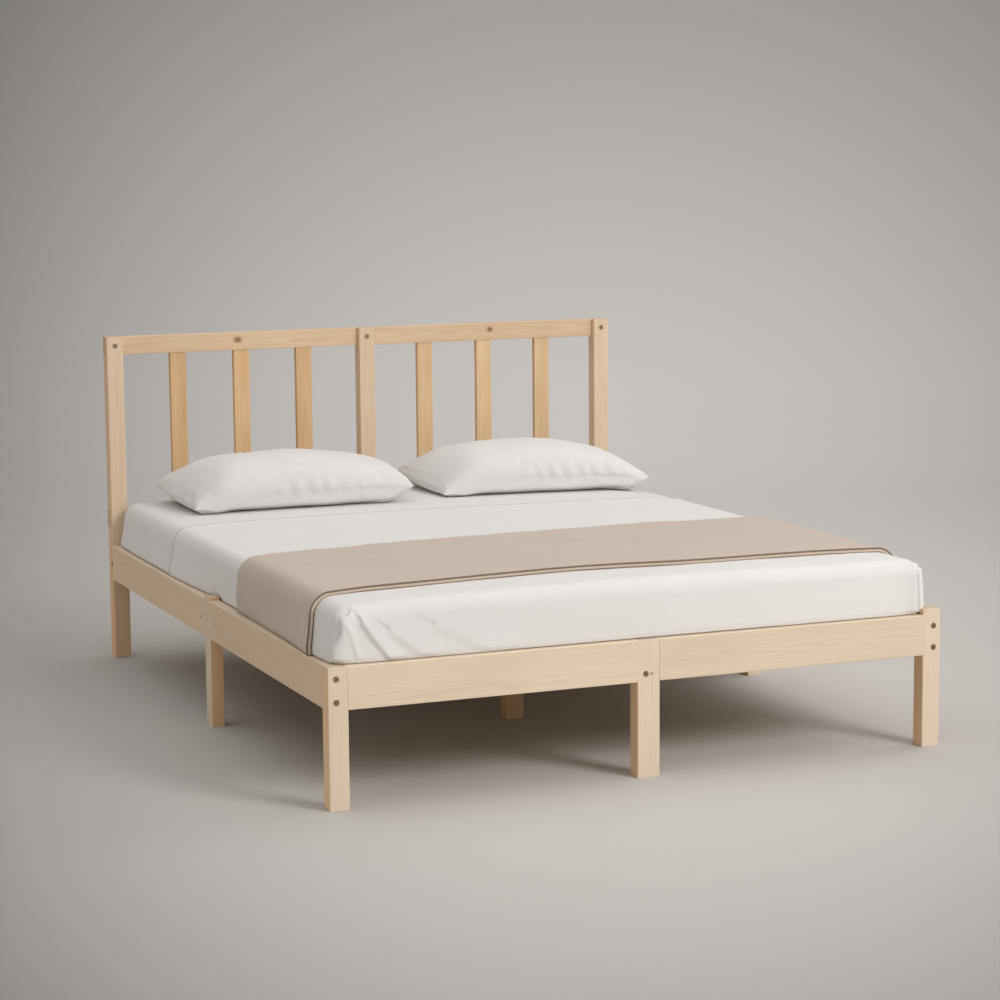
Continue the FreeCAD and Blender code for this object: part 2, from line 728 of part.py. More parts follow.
reach = half_width + over
ceiling = at.bed_height
opening = block("fitted_sheet_opening",
                (at.fitted_sheet_rim - at.mattress_width / 2,
                 mattress_foot + at.fitted_sheet_rim, mattress_base - over),
                (at.mattress_width / 2 - at.fitted_sheet_rim,
                 mattress_head - at.fitted_sheet_rim, mattress_floor))
fitted_sheet = carved("fitted_sheet", cloth("fitted_sheet_all", fitted_inner, fitted_outer, None), opening)
fitted_sheet.Label = "fitted_sheet"
nodes.append(fitted_sheet)

top_sheet_keep = block("top_sheet_keep", (-reach, -half_length - over, at.rail_top - at.top_sheet_tuck),
                       (reach, mattress_head - at.top_sheet_turndown, ceiling))
top_sheet = cloth("top_sheet", top_inner, top_outer, top_sheet_keep)
top_sheet.Label = "top_sheet"
nodes.append(top_sheet)

throw_foot = mattress_foot + at.throw_foot_margin
throw_keep = block("throw_keep", (-reach, throw_foot, at.rail_top + at.throw_rail_gap),
                   (reach, throw_foot + at.throw_width, ceiling))
throw = cloth("throw_blanket", throw_inner, throw_outer, throw_keep)
throw.Label = "throw_blanket"
nodes.append(throw)

# Pillows, lofted through closed sections that are flat below and full above
STATION_SHARES = (0.0, 0.035, 0.13, 0.32, 0.5, 0.68, 0.87, 0.965, 1.0)
FULLNESS_SHARES = (0.1, 0.32, 0.72, 0.96, 1.0, 0.96, 0.76, 0.38, 0.1)
BELLY_SHARES = (0.2, 0.55, 0.95, 1.0, 1.0, 1.0, 0.97, 0.7, 0.2)
DEPTH_SHARES = (0.96, 0.965, 0.97, 0.965, 0.96, 0.96, 0.97, 0.985, 1.0)
FRONT_SEAM_SHARES = (0.1, 0.13, 0.22, 0.31, 0.33, 0.33, 0.34, 0.34, 0.34)
BACK_SEAM_SHARES = (0.38, 0.37, 0.35, 0.33, 0.33, 0.33, 0.35, 0.37, 0.38)
SEAM_SHARE = 0.33
TOP_ROUNDNESS = 2.3
BASE_ROUNDNESS = 3.4
SECTION_STEPS = 16


def pillow_section(place, fullness, belly, depth, front_seam, back_seam):
    height = at.pillow_height.value
    reach = at.pillow_depth.value * depth / 2
    points = []
    for step in range(SECTION_STEPS):
        angle = 2 * math.pi * step / SECTION_STEPS
        ahead, up = math.cos(angle), math.sin(angle)
        power = 2 / (TOP_ROUNDNESS if up > 0 else BASE_ROUNDNESS)
        ahead = math.copysign(abs(ahead) ** power, ahead)
        seam = height * (back_seam + (front_seam - back_seam) * (1 + ahead) / 2)
        swell = (1 - SEAM_SHARE) * height * fullness
        if up < 0:
            swell = min(SEAM_SHARE * height * belly, seam)
        rise = math.copysign(abs(up) ** power, up) * swell
        points.append(FreeCAD.Vector(place, -reach * ahead, seam + rise))
    curve = Part.BSplineCurve()
    curve.interpolate(points, PeriodicFlag=True)
    return Part.Wire([curve.toShape()])


def mattress_top(place):
    half = at.mattress_width.value / 2 + fitted_outer.value
    crown = at.mattress_crown.value
    bow = (half ** 2 + crown ** 2) / (2 * crown)
    shoulder = mattress_floor.value + at.mattress_thickness.value + fitted_outer.value
    return shoulder + math.sqrt(bow ** 2 - place ** 2) - (bow - crown)


pillow_reach = (at.pillow_width + at.pillow_gap) / 2
for word, center in (("left", (at.pillow_shift - pillow_reach).value),
                     ("right", (at.pillow_shift + pillow_reach).value)):
    wires = [pillow_section(at.pillow_width.value * (share - 0.5), *shares)
             for share, *shares in zip(STATION_SHARES, FULLNESS_SHARES, BELLY_SHARES,
                                       DEPTH_SHARES, FRONT_SEAM_SHARES, BACK_SEAM_SHARES)]
    pillow = doc.addObject("Part::Feature", "pillow_" + word)
    pillow.Shape = Part.makeLoft(wires, True, False)
    back = head_front.value - at.pillow_head_gap.value - at.pillow_depth.value / 2
    turn = FreeCAD.Rotation(FreeCAD.Vector(0, 0, 1), -at.pillow_turn_degrees.value)
    pillow.Placement = FreeCAD.Placement(FreeCAD.Vector(center, back, 0), turn)
    skin = pillow.Shape.tessellate(at.pillow_seat_gap.value / 2)[0]
    seat = max(mattress_top(point.x) - point.z for point in skin) + at.pillow_seat_gap.value
    pillow.Placement = FreeCAD.Placement(FreeCAD.Vector(center, back, seat), turn)
    pillow.Label = "pillow_" + word
    nodes.append(pillow)

doc.recompute()

# Checks and export, one file for each node
os.makedirs("parts", exist_ok=True)
for thing in doc.Objects:
    if "Invalid" in thing.State or "Error" in thing.State:
        raise RuntimeError("%s has state %s" % (thing.Name, thing.State))
for node in nodes:
    if node.Shape.isNull() or not node.Shape.isValid() or not node.Shape.Solids:
        raise RuntimeError("%s has no valid solid" % node.Label)
    node.Shape.exportStep("parts/%s.step" % node.Label)
    print(node.Label, len(node.Shape.Solids), "solids")
print(len(nodes), "nodes")
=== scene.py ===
# %% [markdown]
# A pine double bed with a slatted headboard, made up with a mattress, two sheets, a throw and two pillows.
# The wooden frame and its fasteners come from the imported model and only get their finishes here. The
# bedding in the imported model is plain, so every soft piece is made again as cloth and takes its place.

# %% Load the frame
import math
import bpy
import numpy as np
from mathutils import Matrix, Vector, noise


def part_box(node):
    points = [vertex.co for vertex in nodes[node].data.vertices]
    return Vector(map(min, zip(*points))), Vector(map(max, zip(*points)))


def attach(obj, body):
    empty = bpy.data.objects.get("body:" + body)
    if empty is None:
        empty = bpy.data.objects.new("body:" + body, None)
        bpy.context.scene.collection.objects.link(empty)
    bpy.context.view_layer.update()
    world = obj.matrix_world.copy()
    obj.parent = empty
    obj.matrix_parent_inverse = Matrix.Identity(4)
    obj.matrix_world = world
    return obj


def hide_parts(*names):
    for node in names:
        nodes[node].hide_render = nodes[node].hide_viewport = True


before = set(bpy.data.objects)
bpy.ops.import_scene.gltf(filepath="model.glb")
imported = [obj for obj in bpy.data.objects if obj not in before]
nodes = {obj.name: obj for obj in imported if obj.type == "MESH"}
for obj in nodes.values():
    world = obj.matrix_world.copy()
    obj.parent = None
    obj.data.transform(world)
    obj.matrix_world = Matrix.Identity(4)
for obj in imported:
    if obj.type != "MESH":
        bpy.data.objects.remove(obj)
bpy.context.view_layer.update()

# %% [markdown]
# Every finish below is a small network of shader nodes. Wiring them one by one hides the idea, so one class
# holds a socket and lets Python's own signs add the Math nodes. Its node method makes any other node: the
# settings are set first, then the sockets are given a number or joined to another wire.

# %% A wire for shader maths
class Wire:
    """One output socket of a shader tree, on which sums can be written."""

    def __init__(self, tree, socket=None):
        self.tree = tree
        self.socket = socket

    def node(self, kind, settings=None, inputs=None, out=0):
        made = self.tree.nodes.new(kind)
        for name, value in (settings or {}).items():
            setattr(made, name, value)
        for key, value in (inputs or {}).items():
            if isinstance(value, Wire):
                self.tree.links.new(value.socket, made.inputs[key])
            else:
                made.inputs[key].default_value = value
        return Wire(self.tree, made.outputs[out])

    def out(self, name):
        """Another output of the same node."""
        return Wire(self.tree, self.socket.node.outputs[name])

    def math(self, operation, *values):
        return self.node("ShaderNodeMath", {"operation": operation}, dict(enumerate(values)))

    def __add__(self, other):
        return self.math("ADD", self, other)

    def __sub__(self, other):
        return self.math("SUBTRACT", self, other)

    def __rsub__(self, other):
        return self.math("SUBTRACT", other, self)

    def __mul__(self, other):
        return self.math("MULTIPLY", self, other)

    def __truediv__(self, other):
        return self.math("DIVIDE", self, other)

    def __pow__(self, other):
        return self.math("POWER", self, other)

    __radd__ = __add__
    __rmul__ = __mul__

    def at_least(self, other):
        return self.math("MAXIMUM", self, other)

    def at_most(self, other):
        return self.math("MINIMUM", self, other)

    def unsigned(self):
        return self.math("ABSOLUTE", self)

    def smooth(self, start, end):
        """0 at start and 1 at end, eased between them; start may be the larger."""
        low, high, bottom, top = (start, end, 0, 1) if start < end else (end, start, 1, 0)
        return self.node("ShaderNodeMapRange", {"interpolation_type": "SMOOTHSTEP"},
                         {"Value": self, "From Min": low, "From Max": high, "To Min": bottom, "To Max": top})

    def vector(self, x, y, z):
        return self.node("ShaderNodeCombineXYZ", None, {"X": x, "Y": y, "Z": z})

    def cloud(self, place, scale=1.0, detail=2.0, rough=0.5):
        return self.node("ShaderNodeTexNoise", None,
                         {"Vector": place, "Scale": scale, "Detail": detail, "Roughness": rough})

    def tint(self, share, first, second):
        """A colour between two others. A Mix node has its colours at sockets 6 and 7, and the result at 2."""
        first, second = ((*c, 1) if isinstance(c, tuple) else c for c in (first, second))
        return self.node("ShaderNodeMix", {"data_type": "RGBA"}, {0: share, 6: first, 7: second}, out=2)


print("shader wire ready")

# %% [markdown]
# A finish starts as an empty material with one Principled shader. A number that is the same all over a
# surface is set on the shader's own socket, and only what varies is wired: the colour, the roughness, and a
# height that a Bump node turns into small slopes. Most shades are one written colour made lighter or
# darker.

# %% Empty finishes
def new_finish(name, **sockets):
    """An empty material, a wire to write on, and a shader whose plain numbers are set on its own sockets."""
    made = bpy.data.materials.new(name)
    made.use_nodes = True
    tree = made.node_tree
    tree.nodes.clear()
    out = tree.nodes.new("ShaderNodeOutputMaterial")
    shader = tree.nodes.new("ShaderNodeBsdfPrincipled")
    tree.links.new(shader.outputs[0], out.inputs["Surface"])
    for key, value in sockets.items():
        shader.inputs[key.replace("_", " ")].default_value = value
    return made, Wire(tree), shader


def feed(wire, shader, colour, rough=None, height=None, strength=0.3, depth=0.001):
    """Joins what varies over the surface to the shader."""
    wire.tree.links.new(colour.socket, shader.inputs["Base Color"])
    if rough is not None:
        wire.tree.links.new(rough.socket, shader.inputs["Roughness"])
    if height is not None:
        bump = wire.node("ShaderNodeBump", None, {"Strength": strength, "Distance": depth, "Height": height})
        wire.tree.links.new(bump.socket, shader.inputs["Normal"])


def toned(colour, share):
    """A colour times one number, or times a number for each channel."""
    shares = share if isinstance(share, tuple) else (share, share, share)
    return tuple(min(1, c * s) for c, s in zip(colour, shares))


def put_on(piece, material):
    """The material on every slot of a piece."""
    if not piece.material_slots:
        piece.data.materials.append(material)
    for slot in piece.material_slots:
        slot.material = material


print("empty finishes ready")

# %% [markdown]
# Pine is sawn from a log, so its figure is a solid thing: rings round a heart that lies somewhere outside
# the board. Each board gets its own heart and its own drift along the grain, by its box and its seed, and
# the same rings then show as long flames on the faces and as arcs on the ends. A knot is a branch: a cone
# of dark rings that pushes the figure aside.

# %% Boards and knots
def board_axes(wire, low, high):
    """Places along, across and through a board, from its middle, its spans in that order, and its grain."""
    spans = [b - a for a, b in zip(low, high)]
    middle = [(a + b) / 2 for a, b in zip(low, high)]
    grain = spans.index(max(spans))
    wide, thin = sorted((i for i in range(3) if i != grain), key=lambda i: -spans[i])
    order = (grain, wide, thin)
    coords = wire.node("ShaderNodeTexCoord", out="Object")
    split = wire.node("ShaderNodeSeparateXYZ", None, {0: coords})
    places = [split.out("XYZ"[i]) - middle[i] for i in order]
    return coords, places, [spans[i] for i in order], "XYZ"[grain]


def knot_marks(u, v, bend, knots):
    """How far knots push the rings aside, and where their cores and their rims show."""
    push, core, rim = 0.0, 0.0, 0.0
    for place, side, size in knots:
        away = (((u - place) * 0.8) ** 2 + (v - side) ** 2) ** 0.5 + bend * 0.004
        push = away.smooth(size * 4, 0) * (size * 0.9) + push
        core = away.smooth(size, size * 0.55) + core
        rim = away.smooth(size * 1.6, size) + rim
    return push, core, rim


print("boards and knots ready")

# %% [markdown]
# The finish itself lays fibres, pale and dark streaks, patches and pores over the rings. Each is noise that
# is drawn out along the grain. End grain is darker. One pair of side faces gets a painted shade, warmer and
# deeper, as those faces look in shade, and the edges are painted paler, partly as sanded wood and partly as
# a painted highlight. Boards left as the saw cut them also show its fine comb.

# %% The pine finish
KNOT_BROWN = (0.17, 0.085, 0.04)
# The tint of the painted shade on one pair of side faces.
PAINTED_SHADE_TONE = (1.04, 0.80, 0.55)
RIM_TONE = (0.8, 0.62, 0.5)
SAW_TURNS = 1500


def pine(name, low, high, seed, pale, deep, contrast, knots, sawn, shaded_side):
    """Pine for one board; the last argument is the axis of the side faces with a painted warm shade, and its
    strength.
    """
    made, wire, shader = new_finish(name, Specular_IOR_Level=0.35)
    coords, (u, v, w), (length, width, thick), grain = board_axes(wire, low, high)
    dice = np.random.RandomState(seed)
    shift = dice.uniform(-50, 50)

    def drawn_out(along, aside, move, detail, rough=0.5):
        return wire.cloud(wire.vector(u * along + move, v * aside, w * aside), 1, detail, rough)

    bend = drawn_out(1.3, 6, shift, 2) - 0.5
    drift = dice.uniform(0.012, 0.03) * dice.choice((-1, 1))
    across = v - dice.uniform(-0.35, 0.35) * width + bend * 0.012
    depth = w + thick / 2 + dice.uniform(0.008, 0.03) + u * drift + bend * 0.016
    push, core, rim = knot_marks(u, v, bend, knots)
    rings = (across * across + depth * depth) ** 0.5 + push
    turn = wire.math("FRACT", rings / dice.uniform(0.0042, 0.0062))
    late = turn.smooth(0.35, 0.9) * turn.smooth(1.0, 0.9)
    fibre = drawn_out(9, 320, shift, 3, 0.6)
    streak = drawn_out(1.1, 38, -shift, 3, 0.55)
    patch = drawn_out(2.4, 5, shift, 2)
    pores = drawn_out(26, 600, 0, 1).smooth(0.66, 0.74)
    share = late * 0.24 + (streak - 0.5) * 0.8 + (fibre - 0.5) * 0.45 + (patch - 0.5) * 0.7 + pores * 0.12
    colour = wire.tint((share * contrast + 0.26).at_least(0).at_most(1), pale, deep)

    normal = wire.node("ShaderNodeSeparateXYZ", None, {0: coords.out("Normal")})
    end, side = (normal.out(axis).unsigned().smooth(0.6, 0.9) for axis in (grain, shaded_side[0]))
    colour = wire.tint(end * (0.35 + late * 0.3), colour, toned(deep, 0.62))
    # Painted shade: one pair of side faces is tinted warmer and deeper, as those faces look in shade.
    colour = wire.tint(side * (0.6 + streak * 0.8) * shaded_side[1], colour, toned(pale, PAINTED_SHADE_TONE))
    # The edges are painted paler: partly sanded wood, partly a painted highlight where they catch the light.
    near = [(span / 2 - place.unsigned()).smooth(0.0022, 0.0004)
            for span, place in zip((length, width, thick), (u, v, w))]
    edge = (near[0] * near[1] + near[1] * near[2] + near[0] * near[2]).at_most(1)
    colour = wire.tint(edge * (0.25 + fibre * 0.3), colour, toned(pale, 1.18))
    if knots:
        place, side_place, _ = knots[0]
        branch = wire.math("FRACT", ((u - place) ** 2 + (v - side_place) ** 2) ** 0.5 / 0.0024)
        colour = wire.tint(rim.at_most(1) * 0.42, colour, toned(deep, RIM_TONE))
        colour = wire.tint(core.at_most(1) * (0.62 + branch * 0.18), colour, KNOT_BROWN)
    height = fibre * 0.5 + late * 0.35 + pores * -0.3
    rough = 0.5 + (fibre - 0.5) * 0.22 + late * 0.05
    if sawn:
        comb = wire.math("SINE", u * SAW_TURNS + bend * 18) * 0.5 + 0.5
        height = height + comb * 0.8
        rough = rough + 0.16
        colour = wire.tint(comb * 0.10, colour, toned(deep, 0.7))
    feed(wire, shader, colour, rough, height, 0.25, 0.0006)
    return made


print("pine finish ready")

# %% [markdown]
# The boards are sorted by where they sit. The rails and legs are pale, the headboard is a little warmer and
# its slats are the most orange. One pair of side faces gets a painted shade, warmer and deeper: on the left
# side leg the faces towards the head and the foot, on the other boards those towards the left and right, the
# legs most. The slats under the mattress, the ledgers and the beam are left as the saw cut them. Each node
# keeps its own mesh and only its material changes. The two knots in the headboard's top rails are where the
# real boards show them.

# %% Dress the boards
RAIL = ((0.800, 0.665, 0.515), (0.670, 0.525, 0.370))
POST = ((0.790, 0.620, 0.450), (0.650, 0.460, 0.290))
HEAD = ((0.755, 0.570, 0.395), (0.600, 0.395, 0.220))
WARM = ((0.750, 0.515, 0.290), (0.585, 0.340, 0.145))
PALE = ((0.785, 0.575, 0.355), (0.620, 0.385, 0.185))
ROUGH = ((0.690, 0.535, 0.365), (0.520, 0.355, 0.205))
SAWN = ("bed_slat", "slat_ledger", "center_beam")
BOARD_WORDS = ("leg", "post", "rail", "slat", "beam", "ledger")
FIRST_SEED = 100
# Each knot's place along the board, its place across it, and its size.
KNOTS = {
    "headboard_top_rail_left": [(-0.012, 0.004, 0.0105)],
    "headboard_top_rail_right": [(0.02, 0.006, 0.009)],
    "side_rail_right_foot": [(-0.2, -0.015, 0.011)],
    "head_rail_left": [(0.15, 0.01, 0.012)],
    "bed_slat_03": [(0.4, 0.02, 0.012)],
    "bed_slat_06": [(-0.25, -0.02, 0.013)],
    "bed_slat_08": [(0.55, 0.015, 0.011)],
    "bed_slat_10": [(-0.5, 0.01, 0.012)],
}


def board_colours(label):
    """The pale and the deep colour of a board."""
    # Painted light: the beam's leg stands in shade under the bed, and the paler pair lightens it.
    if label.startswith("beam_leg"):
        return PALE
    if label.startswith(SAWN):
        return ROUGH
    if label.startswith("headboard_slat"):
        return WARM if "left" in label else PALE
    if label.startswith("headboard_post"):
        return POST
    if label.startswith(("headboard", "head_leg")):
        return HEAD
    return RAIL


# Which faces of a board get the painted warm shade, and how strongly.
def painted_shade_faces(label):
    if label == "side_leg_left":
        return "Y", 0.9
    return "X", 0.7 if "leg" in label else 0.3


boards = sorted(n for n in nodes if any(word in n for word in BOARD_WORDS))
for number, label in enumerate(boards):
    tone = 1 + 0.035 * math.sin(number * 2.4)
    pale, deep = (toned(colour, tone) for colour in board_colours(label))
    contrast = 1.15 if label.startswith("headboard") else 1.0
    put_on(nodes[label], pine("pine_" + label, *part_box(label), FIRST_SEED + number, pale, deep, contrast,
                              KNOTS.get(label, ()), label.startswith(SAWN), painted_shade_faces(label)))
print("boards dressed:", len(boards))

# %% [markdown]
# The fasteners are small but they catch the eye as dark dots on pale wood. The bolt heads are bronzed
# steel, brown with paler worn patches. The nuts and screws are zinc plated, grey with a faint cloudy bloom,
# and the dowels are beech, a closer wood than pine with short dark flecks.

# %% Metal and dowel finishes
def metal(name, dark, bright, rough_low, rough_high):
    made, wire, shader = new_finish(name, Metallic=0.85, Specular_IOR_Level=0.5)
    coords = wire.node("ShaderNodeTexCoord", out="Object")
    bloom = wire.cloud(coords, 420, 3, 0.6)
    scratch = wire.cloud(wire.node("ShaderNodeMapping", None, {0: coords, "Scale": (2400, 300, 900)}), 1, 2)
    worn = (bloom * 0.6 + scratch * 0.4).smooth(0.38, 0.66)
    feed(wire, shader, wire.tint(worn, dark, bright), rough_low + worn * (rough_high - rough_low),
         scratch, 0.15, 0.0002)
    return made


def beech(name):
    made, wire, shader = new_finish(name, Specular_IOR_Level=0.35)
    coords = wire.node("ShaderNodeTexCoord", out="Object")
    fleck = wire.cloud(coords, 900, 2).smooth(0.58, 0.7)
    broad = wire.cloud(coords, 70, 3)
    colour = wire.tint(broad * 0.7 + fleck * 0.3, (0.56, 0.37, 0.22), (0.36, 0.2, 0.1))
    feed(wire, shader, colour, 0.5 + fleck * 0.15, fleck * -1, 0.2, 0.0003)
    return made


bronze = metal("bronzed_steel", (0.27, 0.185, 0.12), (0.50, 0.385, 0.28), 0.34, 0.5)
zinc = metal("zinc_steel", (0.42, 0.42, 0.41), (0.62, 0.62, 0.6), 0.28, 0.46)
put_on(nodes["connector_bolts"], bronze)
put_on(nodes["connector_nuts"], zinc)
put_on(nodes["wood_screws"], zinc)
put_on(nodes["wood_dowels"], beech("beech_dowel"))
print("fasteners dressed")

# %% [markdown]
# The picture is taken from low down, well to the left of the foot end, with a long lens. A camera can be
# aimed at a point, but this one also rolls a little, so its turn, tilt and roll are written as angles. They
# give three directions, and those are the columns of its matrix.

# %% Camera
CAMERA_PLACE = (-2.7523, -6.7790, 1.5769)
YAW, PITCH, ROLL = math.radians(22.36), math.radians(7.91), math.radians(-0.48)
SENSOR_WIDTH, LENS = 36, 94.88
ahead = Vector((math.sin(YAW) * math.cos(PITCH), math.cos(YAW) * math.cos(PITCH), -math.sin(PITCH)))
right = Vector((math.cos(YAW), -math.sin(YAW), 0))
above = right.cross(ahead)
turned_right = right * math.cos(ROLL) + above * math.sin(ROLL)
turned_above = above * math.cos(ROLL) - right * math.sin(ROLL)
bpy.ops.object.camera_add()
camera = bpy.context.object
camera.matrix_world = Matrix.Translation(CAMERA_PLACE) @ Matrix(
    (turned_right, turned_above, -ahead)).transposed().to_4x4()
camera.data.sensor_width = SENSOR_WIDTH
camera.data.lens = LENS
bpy.context.scene.camera = camera
print("camera at", [round(v, 3) for v in camera.location])

# %% [markdown]
# The studio is one shallow bowl: a flat round floor whose rim curves up into a wall all the way round, so
# there is no horizon line from any side. It starts as a filled circle, and its rim is extruded again and
# again along a quarter arc.

# %% Studio floor and backdrop
FLOOR_REACH, WALL_ROUND, WALL_TOP = 9.0, 5.0, 6.0
FLOOR_SIDES, WALL_STEPS = 96, 16
FLOOR_LEVEL = -0.0005
bpy.ops.object.select_all(action="DESELECT")
bpy.ops.mesh.primitive_circle_add(vertices=FLOOR_SIDES, radius=FLOOR_REACH, fill_type="NGON",
                                  location=(0, 0, FLOOR_LEVEL))
floor = bpy.context.object
floor.name = "studio_floor"
bpy.ops.object.mode_set(mode="EDIT")
bpy.ops.mesh.select_all(action="SELECT")
bpy.ops.mesh.inset(thickness=0.6)
bpy.ops.mesh.select_all(action="DESELECT")
bpy.ops.mesh.select_mode(type="EDGE")
bpy.ops.mesh.select_non_manifold()
radius, height = FLOOR_REACH, 0.0
for step in range(1, WALL_STEPS + 1):
    angle = step / WALL_STEPS * math.pi / 2
    reach = FLOOR_REACH + WALL_ROUND * math.sin(angle)
    rise = WALL_ROUND * (1 - math.cos(angle))
    bpy.ops.mesh.extrude_region_move(TRANSFORM_OT_translate={"value": (0, 0, rise - height)})
    bpy.ops.transform.resize(value=(reach / radius, reach / radius, 1), center_override=(0, 0, rise))
    radius, height = reach, rise
bpy.ops.mesh.extrude_region_move(TRANSFORM_OT_translate={"value": (0, 0, WALL_TOP)})
bpy.ops.mesh.select_all(action="SELECT")
bpy.ops.mesh.normals_make_consistent(inside=False)
bpy.ops.object.mode_set(mode="OBJECT")
bpy.ops.object.transform_apply(location=True, rotation=True, scale=True)
bpy.ops.object.shade_smooth()
print("floor faces:", len(floor.data.polygons))

# %% [markdown]
# The paper is pale grey and darkens towards the front, the sides and the top. Lamps could give that shade
# but would light the bed unevenly, so it lies in the paper, fixed in the room: a fan that opens along the
# line of the picture. Light Path keeps it for what is seen, straight or in a reflection, and the light that
# the floor throws back on the bed stays plain. Near the bed the paper takes shadows; farther out it turns
# into a glow of its own.

# %% Floor and backdrop finish
PAPER_DEEP, PAPER_PALE = (0.60, 0.578, 0.552), (0.63, 0.608, 0.582)
BACKDROP, BLACK = (0.565, 0.537, 0.512), (0.0, 0.0, 0.0)
VIEW_DISTANCE, NEAREST = 7.316, 3.0
SHADE_START, SHADE_FALL = 7.4, 0.042
GLOW_START, GLOW_FULL = 2.7, 5.8
# The middle line of each fan, how fast it darkens to both sides, and the darkest that it gets.
FLOOR_FAN, FLOOR_FALL, FLOOR_DARKEST, FLOOR_GAIN = 0.027, 7.2, 0.45, 1.02
WALL_FAN, WALL_FALL, WALL_DARKEST = 0.038, 8.7, 0.55
RISE_FALL, TOP_DARKEST = 0.135, 0.5
paper, wire, shader = new_finish("studio_paper", Roughness=0.9, Specular_IOR_Level=0.1)
coords = wire.node("ShaderNodeTexCoord", out="Object")
split = wire.node("ShaderNodeSeparateXYZ", None, {0: coords})
x, y, z = (split.out(axis) for axis in "XYZ")
depth = (x * math.sin(YAW) + y * math.cos(YAW) + VIEW_DISTANCE).at_least(NEAREST)
fan = (x * math.cos(YAW) - y * math.sin(YAW)) / depth
path = wire.node("ShaderNodeLightPath", out="Is Camera Ray")
seen = path.at_least(path.out("Is Glossy Ray").at_least(path.out("Is Transmission Ray")))
near = 1 - (SHADE_START - depth).at_least(0.0) ** 2 * SHADE_FALL
# Painted shade on the floor paper: darker towards the front and to both sides of the camera's line.
painted_floor_shade = (near * (1 - (fan - FLOOR_FAN) ** 2 * FLOOR_FALL) * FLOOR_GAIN).at_least(FLOOR_DARKEST)
plain = wire.tint(wire.cloud(coords, 0.6, 3), PAPER_DEEP, PAPER_PALE)
feed(wire, shader, wire.tint((1 - painted_floor_shade) * seen, plain, BLACK))
# Painted shade on the backdrop's glow: darker to the sides and upwards.
to_sides = (1 - (fan - WALL_FAN) ** 2 * WALL_FALL).at_least(WALL_DARKEST)
to_top = (1 - z * RISE_FALL).at_least(TOP_DARKEST)
painted_wall_shade = wire.tint(to_sides * to_top, BLACK, BACKDROP)
glow = wire.node("ShaderNodeEmission", None, {"Color": painted_wall_shade, "Strength": 1.0})
away = (x ** 2 + y ** 2) ** 0.5
mixed = wire.node("ShaderNodeMixShader", None, {
    0: seen * away.smooth(GLOW_START, GLOW_FULL), 1: Wire(wire.tree, shader.outputs[0]), 2: glow})
wire.tree.links.new(mixed.socket, wire.tree.nodes["Material Output"].inputs["Surface"])
put_on(floor, paper)
print("floor finish:", paper.name)

# %% [markdown]
# Two soft lamps and a grey world. The large lamp stands high in front on the right, so that it lights the
# foot end and the top and throws the dark pool under the frame and to the left. A weaker one on the right
# lifts the headboard, and the world keeps the shaded left side readable. They are area lamps because a real
# studio uses cloth boxes, and those give soft edges to shadows.

# %% Light
LAMP_TINT, WORLD_TINT, WORLD_STRENGTH = (1, 0.99, 0.975), (1.0, 0.99, 0.98, 1), 0.91


def lamp(name, place, target, size, power):
    bpy.ops.object.light_add(type="AREA", location=place)
    made = bpy.context.object
    made.name = name
    made.rotation_euler = (Vector(target) - Vector(place)).to_track_quat("-Z", "Y").to_euler()
    made.data.shape = "DISK"
    made.data.size = size
    made.data.energy = power
    made.data.color = LAMP_TINT
    made.visible_camera = False


lamp("front_box", (2.7, -6.1, 3.9), (0, -0.6, 0.3), 2.6, 238)
lamp("right_box", (5.0, 0.0, 3.6), (0, 0, 0.3), 3.0, 48)
world = bpy.data.worlds.new("studio_world")
bpy.context.scene.world = world
world.use_nodes = True
world.node_tree.nodes["Background"].inputs["Color"].default_value = WORLD_TINT
world.node_tree.nodes["Background"].inputs["Strength"].default_value = WORLD_STRENGTH
bpy.context.scene.view_settings.view_transform = "Standard"

# %% [markdown]
# Cotton is two sets of threads going over and under each other. The weave is drawn from the flat cloth,
# before it was laid over the bed: each point of a sheet remembers where it was on the flat piece, in
# metres, in an attribute called flat, so that the threads run with the cloth over every edge. Slack and
# slubs make a slow cloudiness. The top sheet's head edge is turned under, and a thin painted shadow line is
# laid along it.

# %% Cloth finishes
SHEET_HEAD = 0.42
HEM_SHADE_START, HEM_SHADE_FULL = 0.0085, 0.0065
COTTON_PITCH, COTTON_SHEEN = 0.0011, 0.15


def cloth_finish(name, pale, deep, pitch, sheen, flat=True, twill=0.0, strength=0.25, hem=None):
    """A weave with its threads a pitch apart; hem is where the flat cloth ends, with a painted shadow line
    along it.
    """
    made, wire, shader = new_finish(name, Specular_IOR_Level=0.2, Sheen_Weight=sheen, Sheen_Roughness=0.5)
    if flat:
        spot = wire.node("ShaderNodeAttribute", {"attribute_name": "flat"}, out="Vector")
    else:
        spot = wire.node("ShaderNodeTexCoord", out="Object")
    split = wire.node("ShaderNodeSeparateXYZ", None, {0: spot})
    turns = 2 * math.pi / pitch
    x, y = split.out("X"), split.out("Y")
    if not flat:
        y = y + split.out("Z") * 0.9
    warp = wire.math("SINE", x * turns + y * (turns * twill))
    weft = wire.math("SINE", y * turns)
    weave = warp * weft * 0.5 + 0.5
    long_slub = wire.cloud(wire.vector(x * 40, y * 700, 0), 1, 2)
    cross_slub = wire.cloud(wire.vector(x * 700, y * 40, 0), 1, 2)
    slub = long_slub * 0.5 + cross_slub * 0.5
    slow = wire.cloud(spot, 5, 3)
    share = (slow - 0.5) * 0.5 + (slub - 0.5) * 0.8 + weave * 0.3 + 0.2
    colour = wire.tint(share.at_least(0).at_most(1), pale, deep)
    if hem is not None:
        # A painted shadow line along the hem.
        line = y.smooth(hem - HEM_SHADE_START, hem - HEM_SHADE_FULL)
        colour = wire.tint(line * 0.8, colour, toned(deep, 0.64))
    feed(wire, shader, colour, 0.82 + weave * 0.1, weave * 0.6 + slub * 0.8, strength, 0.0004)
    return made


